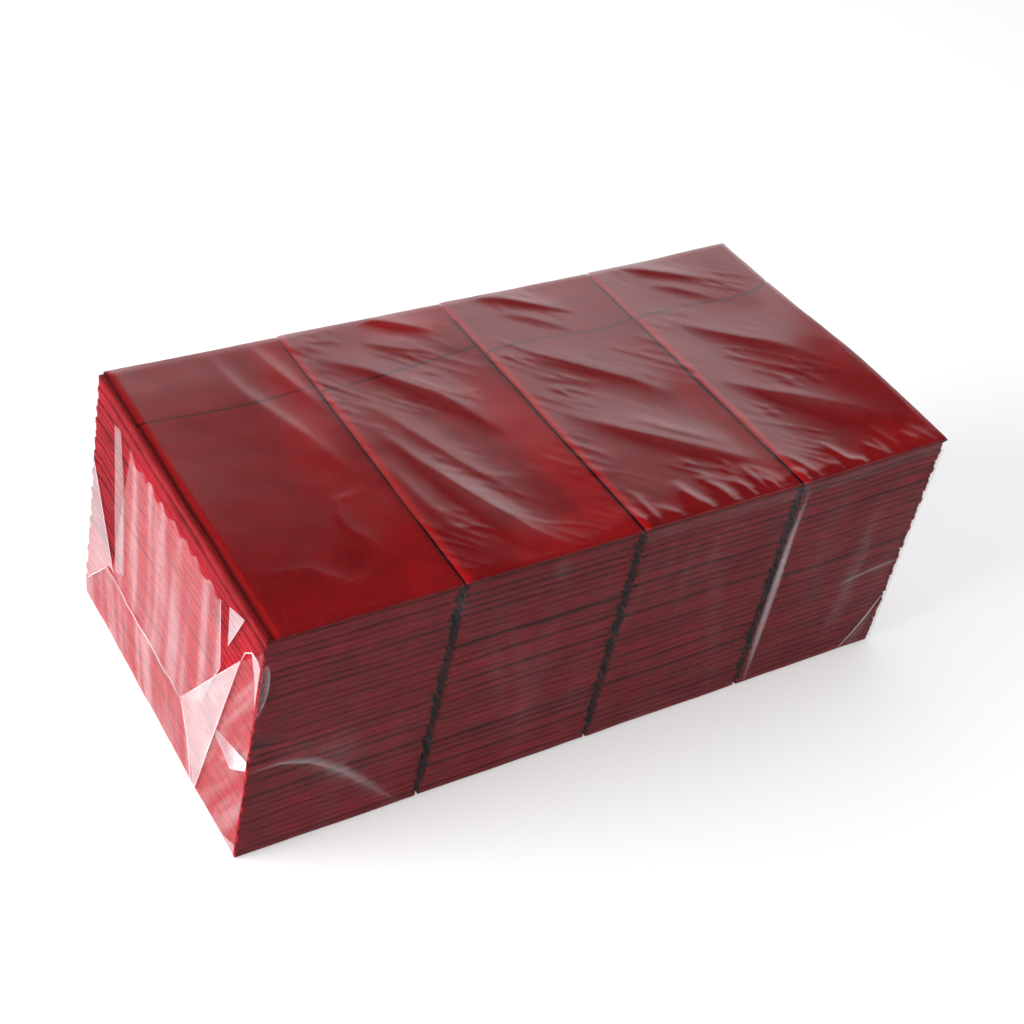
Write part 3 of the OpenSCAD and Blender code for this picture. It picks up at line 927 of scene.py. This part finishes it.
def plain_relief(seed):
    def relief(x, z):
        h = 0.3 * ripple(x, z, 85, seed) + 0.08 * ripple(x, z, 24, seed + 2)
        return h * 0.7 + 0.1 + 0.25 * np.clip(ripple(x, z * 0.35, 34, seed + 5), 0, 1)
    return relief


# %% Build the skin
def lines(length, step, fine=None):
    """Grid lines from 0 to length, close at the edges. Fine gives a reach before the end, and its step."""
    inner = list(np.linspace(EDGE_R * 2.2, length - EDGE_R * 2.2, max(3, int(length / step))))
    if fine:
        reach, close = fine
        inner = [v for v in inner if v < length - reach]
        inner += list(np.arange(length - reach, length - EDGE_R * 2.2, close))
    ends = [0, EDGE_R * 0.3, EDGE_R * 0.62, EDGE_R, EDGE_R * 1.5]
    return np.array(ends + inner + [length - v for v in reversed(ends)])


XS = lines(BOX_W, 1.4)
YS = lines(BOX_D, 1.7, fine=(34, 1.1))
ZS = lines(BOX_H, 3.2)


def rounded(p):
    """Rounds the box's edges: points near an edge are drawn in on a circle."""
    low = np.array([0, -BOX_D / 2, 0]) + EDGE_R
    high = np.array([BOX_W, BOX_D / 2, BOX_H]) - EDGE_R
    core = np.clip(p, low, high)
    away = p - core
    size = np.linalg.norm(away, axis=1, keepdims=True)
    normal = away / np.maximum(size, 1e-9)
    return core + normal * EDGE_R, normal


def skin_face(first, second, make, relief):
    """One face of the skin. Make turns the two grid coordinates into a box point, relief gives its height."""
    a, b = np.meshgrid(first, second, indexing="ij")
    p = make(a.ravel(), b.ravel())
    p, normal = rounded(p)
    p = p + normal * relief(a.ravel(), b.ravel())[:, None]
    return p, grid_faces(len(first), len(second), flip=True)


def fade(v, length, reach=7):
    """0 at both ends of an edge, 1 further in."""
    return ease((v - EDGE_R) / reach) * ease((length - EDGE_R - v) / reach)


def on_top(a, b):
    quiet = fade(a, BOX_W, 5) * fade(b, BOX_D, 6)
    return quiet * np.maximum(top_relief(a, b), -0.42) + gathers(a, BOX_D - b)


def on_front(a, b):
    quiet = fade(a, BOX_W, 3) * fade(b, BOX_H, 4)
    return quiet * np.maximum(front_relief(a, b), -0.35) + gathers(a, b - BOX_H)


def on_plain(seed, length):
    relief = plain_relief(seed)

    def height(a, b):
        return fade(a, length) * fade(b, BOX_H) * np.maximum(relief(a, b), -0.3)
    return height


columns = np.column_stack
# Name of each face, its grid lines, its place, its relief, and whether its quads are turned over
SKIN_FACES = [
    ("top", XS, YS, lambda a, b: columns([a, BOX_D / 2 - b, a * 0 + BOX_H]), on_top, True),
    ("front", XS, ZS, lambda a, b: columns([a, a * 0 - BOX_D / 2, b]), on_front, False),
    ("back", XS, ZS, lambda a, b: columns([a, a * 0 + BOX_D / 2, b]), on_plain(43, BOX_W), True),
    ("left", YS, ZS, lambda a, b: columns([a * 0, BOX_D / 2 - a, b]), on_plain(55, BOX_D), False),
    ("right", YS, ZS, lambda a, b: columns([a * 0 + BOX_W, BOX_D / 2 - a, b]), on_plain(67, BOX_D), True)]
# How strongly each face mirrors: less where the film clings to the paper
FACE_GLOSS = {"top": 0.95, "front": 0.17, "back": 0.8, "left": 0.045, "right": 0.25}


def shine_of(name, a, b):
    """Mirroring of a face. It fades where the film is drawn over the left and the front edge of the top."""
    value = FACE_GLOSS[name] + 0 * a
    if name == "top":
        front_half = 46 * ease((b - 40) / 110)
        value = value * (0.2 + 0.8 * ease((a - 1.8) / 4.5))
        value = value * (0.03 + 0.97 * ease((BOX_W - a - 0.5) / 5))
        value = value * (1 - 0.6 * ease((a - BOX_W + 12 + front_half) / 34))
        value = value * (1 - 0.3 * ease((b - BOX_D + 26) / 12))
        value = value * (1 - 0.75 * (1 - ease((BOX_D - b - 1) / 4)) * (1 - ease((a - 196) / 8)))
    if name == "right":
        value = value * (0.1 + 0.9 * ease((BOX_H - b) / 8))
    return value


def weld(points, faces, values):
    """Makes one point of those that coincide."""
    keys = np.round(points, 4)
    _, first, where = np.unique(keys, axis=0, return_index=True, return_inverse=True)
    where = where.ravel()
    faces = [tuple(int(where[i]) for i in face) for face in faces]
    return points[first], faces, {k: v[first] for k, v in values.items()}


def crease_haze(name, a, b):
    """How milky a face is: a little all over, and more along its drawn creases."""
    haze = 0.004 + 0 * a
    if name == "front":
        haze = add_wrinkles(haze, a, b, FRONT_WRINKLES, 0.06, 0.8)
        haze = haze + 0.012 * np.clip(ripple(a, b * 0.15, 30, 77), 0, 1) ** 2
    if name == "top":
        haze = add_wrinkles(haze, a, b, TOP_WRINKLES, 0.018)
    return haze


def build_skin():
    points, faces, gloss, haze = [], [], [], []
    base = 0
    for name, first, second, make, relief, flip in SKIN_FACES:
        p, quads = skin_face(first, second, make, relief)
        points.append(p)
        a, b = np.meshgrid(first, second, indexing="ij")
        gloss.append(shine_of(name, a.ravel(), b.ravel()))
        haze.append(crease_haze(name, a.ravel(), b.ravel()))
        faces += [tuple(base + i for i in (reversed(q) if flip else q)) for q in quads]
        base += len(p)
    values = {"gloss": np.concatenate(gloss), "plies": np.concatenate(haze)}
    points, faces, values = weld(np.concatenate(points), faces, values)
    # Edges that only one quad has run round the open base
    ends = {}
    for face in faces:
        for a, b in zip(face, face[1:] + face[:1]):
            if (b, a) in ends:
                del ends[(b, a)]
            else:
                ends[(a, b)] = True
    follow = {b: a for a, b in ends}
    start = next(iter(follow))
    loop = [start]
    while follow[loop[-1]] != start:
        loop.append(follow[loop[-1]])
    print("open edge of the skin, closed by the base:", len(loop), "of", len(ends), "edges")
    faces.append(tuple(loop))
    return to_pack(points), faces, values


def film_piece(name, points, faces, values, flat=()):
    piece = make_piece(name, points, faces, clear_film, flat)
    store(piece, values)
    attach(piece, "root")
    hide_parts("film_wrap")


skin_points, skin_faces, skin_values = build_skin()
film_piece("film_skin", skin_points, skin_faces, skin_values, flat=[len(skin_faces) - 1])

# %% [markdown]
# ## Folded plies
# At each end the sheet is folded like the end of a parcel: the sides are tucked in as gussets, the upper
# flap comes down over them, and the lower flap is folded up over it all. In front a lip and a tuck take
# up the slack. Each ply is a separate sheet cut to its outline, so its edges stay sharp, and its rim is
# rolled into a fine bead, which catches the light as the folded edge of the film does; the bead is also
# made milkier than its ply, partly the milky fold and partly a painted highlight. Where the film is
# only creased, a soft milky streak or a fine thread on the skin is enough.

# %% A ply of film with any outline
def ply(face, border, out, haze, gloss=1.0, relief=None, step=3.0, beads=(), bead=0.28):
    """A sheet on a face, out mm above the skin. Border runs round it in the face's two coordinates."""
    border = np.asarray(border, dtype=float)
    rim = []
    for k in range(len(border)):
        a, b = border[k], border[(k + 1) % len(border)]
        count = max(1, int(np.hypot(*(b - a)) / step))
        rim += [tuple(a + (b - a) * i / count) for i in range(count)]
    low, high = border.min(axis=0), border.max(axis=0)
    grid = [(x + (step / 2 if j % 2 else 0), y)
            for j, y in enumerate(np.arange(low[1] + step / 2, high[1], step * 0.87))
            for x in np.arange(low[0] + step / 2, high[0], step)]
    edges = [(i, (i + 1) % len(rim)) for i in range(len(rim))]
    spots = [Vector(p) for p in rim + grid]
    points, _, faces, *_ = delaunay_2d_cdt(spots, edges, [list(range(len(rim)))], 1, 1e-4)
    flat_points = np.array([tuple(p) for p in points])
    used = sorted({i for f in faces for i in f})
    renumber = {old: new for new, old in enumerate(used)}
    flat_points = flat_points[used]
    faces = [tuple(renumber[i] for i in f) for f in faces]
    height = np.full(len(flat_points), out)
    if relief is not None:
        height = height + relief(flat_points[:, 0], flat_points[:, 1])
    solid = on_face(face, flat_points, height)
    plies = spread(haze, flat_points)
    shine = spread(gloss, flat_points)
    haze, gloss = plies.max(), shine.max()
    for path in beads:
        tube, tube_faces = bead_tube(face, path, out + 0.1, bead, relief)
        faces += [tuple(len(solid) + i for i in f) for f in tube_faces]
        solid = np.concatenate([solid, tube])
        # A bead is milkier and glossier than its ply: the milky fold of the film, and partly a painted
        # highlight along the folded edge.
        plies = np.concatenate([plies, np.full(len(tube), 0.25 + 1.5 * min(haze, 0.12))])
        shine = np.concatenate([shine, np.full(len(tube), 1.5 * gloss)])
    return solid, faces, {"plies": plies, "gloss": shine}


def spread(value, points):
    """One number for all points, or a function of the two coordinates, as an array."""
    return value(points[:, 0], points[:, 1]) if callable(value) else np.full(len(points), float(value))


def thread(face, path, out, radius, haze, gloss=0.5):
    """A fine sharp crease on its own."""
    points, faces = bead_tube(face, path, out, radius, None)
    return points, faces, {"plies": np.full(len(points), haze), "gloss": np.full(len(points), gloss)}


def soft_streak(face, path, out, width, haze, gloss=0.3):
    """A narrow milky strip that clears towards both sides and both ends."""
    path = np.asarray(path, dtype=float)
    way_along = np.concatenate([[0], np.cumsum(np.hypot(*np.diff(path, axis=0).T))])
    t = np.linspace(0, 1, 44)
    line = np.column_stack([np.interp(t, way_along / way_along[-1], path[:, k]) for k in range(2)])
    line[1:-1] = (line[:-2] + 2 * line[1:-1] + line[2:]) / 4
    way = np.gradient(line, axis=0)
    way = way / np.linalg.norm(way, axis=1, keepdims=True)
    across = np.column_stack([-way[:, 1], way[:, 0]])
    u = np.linspace(-1, 1, 9)
    taper = np.sin(np.pi * (0.02 + 0.96 * t)) ** 0.6
    spots = line[:, None, :] + across[:, None, :] * (u[None, :, None] * width * taper[:, None, None])
    share = (taper[:, None] * (1 - u[None, :] ** 2) ** 1.5).ravel()
    faces = grid_faces(len(t), len(u), flip=True)
    values = {"plies": haze * share, "gloss": gloss * share}
    return on_face(face, spots.reshape(-1, 2), out + 0.5 * share), faces, values


def on_face(face, p, out):
    """Points of the straight box for coordinates on a face: X and Z, or Y and Z at the ends."""
    out = np.broadcast_to(np.asarray(out, dtype=float), (len(p),))
    if face == "front":
        return np.column_stack([p[:, 0], -BOX_D / 2 - out, p[:, 1]])
    if face == "back":
        return np.column_stack([p[:, 0], BOX_D / 2 + out, p[:, 1]])
    if face == "left":
        return np.column_stack([-out, p[:, 0], p[:, 1]])
    return np.column_stack([BOX_W + out, p[:, 0], p[:, 1]])


def bead_tube(face, path, out, radius, relief):
    """A fine five-sided roll along a path on a face."""
    path = np.asarray(path, dtype=float)
    fine = []
    for a, b in zip(path[:-1], path[1:]):
        count = max(1, int(np.hypot(*(b - a)) / 3))
        fine += [a + (b - a) * i / count for i in range(count)]
    fine = np.array(fine + [path[-1]])
    way = np.gradient(fine, axis=0)
    way = way / np.maximum(np.linalg.norm(way, axis=1, keepdims=True), 1e-9)
    across = np.column_stack([-way[:, 1], way[:, 0]])
    height = np.full(len(fine), out)
    if relief is not None:
        height = height + relief(fine[:, 0], fine[:, 1])
    thin = radius * (0.35 + 0.65 * np.sin(np.pi * np.linspace(0.04, 0.96, len(fine))))
    rings = []
    for k in range(5):
        turn = 2 * math.pi * k / 5
        side = fine + across * (thin * math.cos(turn))[:, None]
        rings.append(on_face(face, side, height + thin * math.sin(turn)))
    n = len(fine)
    points = np.concatenate(rings)
    faces = [(k * n + i, ((k + 1) % 5) * n + i, ((k + 1) % 5) * n + i + 1, k * n + i + 1)
             for k in range(5) for i in range(n - 1)]
    faces += [tuple(k * n for k in range(4, -1, -1)), tuple(k * n + n - 1 for k in range(5))]
    return points, faces


def join_plies(name, plies):
    """One film piece from several plies, each with its points, faces and values."""
    points, faces = [], []
    values = {"plies": [], "gloss": []}
    base = 0
    for p, f, v in plies:
        points.append(to_pack(p))
        faces += [tuple(base + i for i in face) for face in f]
        for key in values:
            values[key].append(v[key])
        base += len(p)
    values = {key: np.concatenate(v) for key, v in values.items()}
    film_piece(name, np.concatenate(points), faces, values)


# %% Folds of the left end
# Coordinates: Y across the end, plus towards the back, and Z from the floor. HALF is where the rounded
# upright edges begin.
HALF = BOX_D / 2 - EDGE_R


def soft_folds(seed, height, slant=0.12):
    """Soft upright folds, as in a flap that hangs slack."""
    def relief(y, z):
        wide = np.clip(ripple(y - slant * (z - 80), z * 0.16, 26, seed), -0.4, 1)
        return height * (0.45 + wide) * ease(z / 12)
    return relief


def scallops(y0, y1, z, depth, count, seed):
    """A wavy upper edge from y0 to y1 at height z."""
    ys = np.linspace(y0, y1, count * 4 + 1)
    wander = 0.6 * ripple(ys, ys * 0, 30, seed)
    zs = z - depth * np.abs(np.sin(np.pi * count * (ys - y0) / (y1 - y0) + wander))
    return list(zip(ys, zs))


def streaked(low, high, seed, slant=0.12):
    """Haze of a slack flap: milky upright streaks with clearer ones between."""
    def haze(y, z):
        across = y - slant * (z - 80)
        wave = ripple(across, z * 0.05, 20, seed) + 0.7 * ripple(across, z * 0.07, 7, seed + 1)
        return low + (high - low) * np.clip(0.35 + 0.8 * wave, 0, 1) ** 1.6
    return haze


join_plies("film_left_end", [
    ply("left", [(-HALF, 3), (-54, 1.5), (-29, 43), (-83, 120), (-HALF, 141)], 0.3,
        streaked(0.02, 0.13, 3, -0.5), 0.15, soft_folds(3, 0.4, -0.5)),
    ply("left", [(HALF, 9), (HALF, 100), (63, 45.7), (70, 44.5)], 0.35, 0.17, 0.4,
        beads=[[(HALF, 100), (63, 45.7)]]),
    ply("left", scallops(52, -58, 138, 6, 8, 2) + [(-66, 100), (-50, 62), (-29, 43), (63, 44), (60, 80)],
        0.6, streaked(0.03, 0.16, 5), 0.25, soft_folds(5, 0.8),
        beads=[[(-58, 134), (-66, 100), (-50, 62)]], bead=0.2),
    ply("left", [(74, 136), (66, 138), (58, 112), (49, 56), (59, 50), (66, 90)], 0.7, 0.09, 0.4,
        soft_folds(8, 0.4)),
    # Painted highlight: a milky triangle with a bead near the top front of the left end, standing in for a
    # glint.
    ply("left", [(-66, 138), (-81, 143.5), (-69, 116)], 0.7, 0.22, 0.4,
        beads=[[(-81, 143.5), (-69, 116)]], bead=0.2),
    ply("left", [(-29, 43), (-83, 120), (-54, 0.8), (-42, 24)], 1.0, 0.27, 0.25, soft_folds(12, 0.3),
        beads=[[(-83, 120), (-54, 0.8)], [(-29, 43), (-83, 120)]], bead=0.3),
    # Painted highlight: a milky patch, whiter towards the corner, that stands in for the glint of the film's
    # fold at the left front corner.
    ply("left", [(-66, 60), (-66, 57), (-86.5, 51.5), (-HALF, 65), (-HALF, 71), (-84, 66)], 0.8,
        lambda y, z: 0.12 + 0.45 * ease((-y - 80) / 18), 0.4),
    ply("left", [(-91, 134), (-HALF, 132), (-HALF, 106), (-98, 120)], 0.9, 0.22, 0.4),
    thread("left", [(-83, 120), (-86, 128), (-92, 133.5), (-98, 133.5), (-HALF, 131)], 1.0, 0.35, 0.4),
    ply("left", [(-60, 4), (-88, 6), (-HALF, 12), (-HALF, 3), (-60, 1)], 0.7, 0.2, 0.4),
    ply("left", [(HALF, 2), (-53, 1), (-41, 28), (-29, 43), (70, 44), (HALF, 8)], 0.9,
        streaked(0.03, 0.17, 15, 0.3), 0.3, soft_folds(15, 0.5, 0.3),
        beads=[[(-29, 43), (70, 44)], [(70, 44), (HALF, 8)], [(-31, 42), (-41, 27), (-53, 1)]], bead=0.3)])

# %% Folds of the right end
join_plies("film_right_end", [
    ply("right", [(-HALF, 3), (-34, 43), (-HALF, 141)], 0.35, 0.1, 1.0, soft_folds(23, 0.3),
        beads=[[(-34, 43), (-HALF, 141)]]),
    ply("right", [(HALF, 2), (HALF, 104), (61, 44)], 0.4, 0.16, 1.0, soft_folds(25, 0.3),
        beads=[[(HALF, 104), (61, 44)]]),
    ply("right", scallops(-54, 53, 140, 4, 9, 7) + [(58, 44), (-40, 43)], 0.6, 0.05, 1.0,
        soft_folds(27, 0.5)),
    ply("right", [(-HALF, 2), (HALF, 2), (68, 43), (-34, 43)], 0.9, 0.07, 1.0, soft_folds(29, 0.4, 0.3),
        beads=[[(HALF, 2), (68, 43)], [(68, 43), (-34, 43)], [(-34, 43), (-HALF, 2)]])])

# %% Lip, tuck and lap of the sheet
# The lip runs from the second seam to the right end. The tuck lies at the last seam.
LIP_X = float(seam_x(1, -100, LOW_H)) + 1
LIP_END, LIP_TOP, LIP_LOW = 404, 148.4, 141.5
TUCK_X = float(seam_x(2, -100, LOW_H)) + 1.5
# Height of the lap's edge at the back
LAP_H = 32
# Soft streaks of the front: path, height above the skin, half width, haze and gloss
STREAKS = [
    ([(TUCK_X + 2.4, 146), (TUCK_X + 0.8, 116), (TUCK_X + 1.6, 80), (TUCK_X + 2.2, 40), (TUCK_X + 3, 3)],
     0.7, 3.4, 0.2, 0.35),
    ([(TUCK_X + 1.4, 128), (TUCK_X + 0.6, 100), (TUCK_X + 0.8, 70), (TUCK_X + 1.6, 30)],
     0.8, 1.0, 0.14, 0.35),
    ([(0, 65), (16, 66), (34, 60), (52, 45), (70, 26), (88, 5)], 0.7, 3.2, 0.1, 0.15),
    ([(0, 66), (14, 66), (30, 61), (46, 49), (62, 34)], 0.75, 0.9, 0.12, 0.15),
    ([(250, 140), (262, 100), (276, 50), (286, 6)], 0.5, 6, 0.012, 0.04),
    ([(366, 120), (372, 80), (366, 40), (362, 10)], 0.5, 6, 0.03, 0.06),
    ([(128, 126), (146, 80), (158, 30)], 0.5, 5, 0.012, 0.04)]
# Fine creases of the front: path, height above the skin, radius, haze and gloss
CREASES = [
    ([(381, 5), (389, 15), (396, 27), (402, 40)], 0.7, 0.4, 0.28, 0.3),
    ([(362, 61), (382, 65), (404, 67)], 0.7, 0.35, 0.18, 0.3)]


def lip_border():
    """The lip from its two upper corners along its wavy lower edge."""
    xs = np.linspace(LIP_END, LIP_X, 60)
    low = [(x, LIP_LOW + 0.9 * float(ripple(np.float64(x), np.float64(0), 38, 4))) for x in xs]
    return [(LIP_X, LIP_TOP), (LIP_END, LIP_TOP)] + low


def lap_relief(x, z):
    return 0.2 * ripple(x, z, 40, 6)


front_folds = [ply("front", lip_border(), 0.35, 0.016, 0.05, step=2.5)]
front_folds += [soft_streak("front", *streak) for streak in STREAKS]
front_folds += [thread("front", *crease) for crease in CREASES]
join_plies("film_lip_and_tuck", front_folds)
join_plies("film_back_lap", [
    ply("back", [(2, 2), (BOX_W - 2, 2), (BOX_W - 2, LAP_H), (2, LAP_H)], 0.9, 0.05, 1.0, lap_relief,
        step=5, beads=[[(2, LAP_H), (BOX_W - 2, LAP_H)]])])

# %% Loose ear at the left front corner
# How far the ear stands out, its upper end, and its length, in mm
EAR_REACH, EAR_TOP, EAR_LENGTH = 4.2, 134, 34


def build_ear():
    """A small loose fold of film that stands out from the corner over the front."""
    rows, cols = 24, 8
    points, plies = [], []
    for j in range(rows):
        v = j / (rows - 1)
        reach = EAR_REACH * math.sin(math.pi * (0.1 + 0.9 * v ** 0.8)) ** 0.6
        for i in range(cols):
            u = i / (cols - 1)
            out = 0.5 + 0.3 * reach * u
            points.append((reach * u - 1.0, -BOX_D / 2 - out, EAR_TOP - EAR_LENGTH * v + 1.2 * u))
            plies.append(0.03 + 0.2 * u ** 5)
    values = {"plies": np.array(plies), "gloss": np.full(len(points), 0.2)}
    return np.array(points), grid_faces(rows, cols), values


join_plies("film_ear", [build_ear()])

# %% [markdown]
# ## Floor and light
# A glossy wrapper shows what stands around it. Here the film mirrors only the bright room: its pale lower
# part makes the haze on the top, and the dark band high up makes the clear patches. Two large soft boxes,
# at the left and above, light the paper, and are kept out of reflections. The floor is plain and pale.

# %% Floor
def pale_floor():
    size = 4
    mesh = bpy.data.meshes.new("floor")
    corners = [(-size, -size, 0), (size, -size, 0), (size, size, 0), (-size, size, 0)]
    mesh.from_pydata(corners, [], [(0, 1, 2, 3)])
    floor = bpy.data.objects.new("floor", mesh)
    bpy.context.scene.collection.objects.link(floor)
    material, _, _ = principled(
        "pale_floor", Base_Color=(0.72, 0.72, 0.72, 1), Roughness=0.9, Specular_IOR_Level=0.1,
        Emission_Color=(1, 1, 1, 1), Emission_Strength=0.4)
    mesh.materials.append(material)
    print("floor", 2 * size, "m wide")


pale_floor()

# %% Lights
def soft_box(name, place, aim, width, height, power):
    """A rectangular lamp that isn't seen in reflections. Places are in metres, power is in watts."""
    lamp = bpy.data.lights.new(name, "AREA")
    lamp.shape = "RECTANGLE"
    lamp.size = width
    lamp.size_y = height
    lamp.energy = power
    box = bpy.data.objects.new(name, lamp)
    box.location = place
    box.rotation_euler = (Vector(aim) - Vector(place)).to_track_quat("-Z", "Y").to_euler()
    box.visible_glossy = False
    bpy.context.scene.collection.objects.link(box)
    print(name, power, "W")


soft_box("left_box", (-1.9, 0.25, 0.75), (0, 0, 0.07), width=1.5, height=1.0, power=60)
soft_box("high_box", (0.2, 0.3, 1.9), (0, 0, 0.1), width=2.0, height=1.5, power=12)

# %% Bright room
# How bright the room is by height: the upward share of the direction, 0 level and 1 straight up, and
# the brightness there
ROOM_BY_HEIGHT = [
    (0.0, 0.9), (0.2, 1.9), (0.4, 1.9), (0.56, 1.3), (0.61, 0.55), (0.65, 0.22), (0.69, 0.01),
    (0.87, 0.01), (0.97, 0.5)]
# The corner of the room in front at the left is dimmer: its brightness, and how much X and Y count
DIM = 0.22
DIM_X, DIM_Y = 0.35, 0.5
ROOM_STRENGTH = 0.85

room = bpy.data.worlds.new("room")
room.use_nodes = True
tree = room.node_tree
sky = tree.nodes["Background"]
way = tree.nodes.new("ShaderNodeTexCoord")
axes = tree.nodes.new("ShaderNodeSeparateXYZ")
tree.links.new(way.outputs["Generated"], axes.inputs[0])
ramp = tree.nodes.new("ShaderNodeValToRGB")
ramp.color_ramp.interpolation = "EASE"
while len(ramp.color_ramp.elements) < len(ROOM_BY_HEIGHT):
    ramp.color_ramp.elements.new(0.5)
for element, (at, value) in zip(ramp.color_ramp.elements, ROOM_BY_HEIGHT):
    element.position = at
    element.color = (value, value, value, 1)
tree.links.new(axes.outputs["Z"], ramp.inputs["Fac"])
behind = plus(tree, times(tree, axes.outputs["X"], DIM_X), times(tree, axes.outputs["Y"], DIM_Y))
share = plus(tree, times(tree, behind, 0.9), 0.6, clamp=True)
mix = tree.nodes.new("ShaderNodeMix")
mix.data_type = "RGBA"
mix.inputs[6].default_value = (DIM, DIM, DIM, 1)
tree.links.new(share, mix.inputs[0])
tree.links.new(ramp.outputs["Color"], mix.inputs[7])
tree.links.new(mix.outputs[2], sky.inputs["Color"])
sky.inputs["Strength"].default_value = ROOM_STRENGTH
bpy.context.scene.world = room
print("room with", len(ROOM_BY_HEIGHT), "levels of brightness")
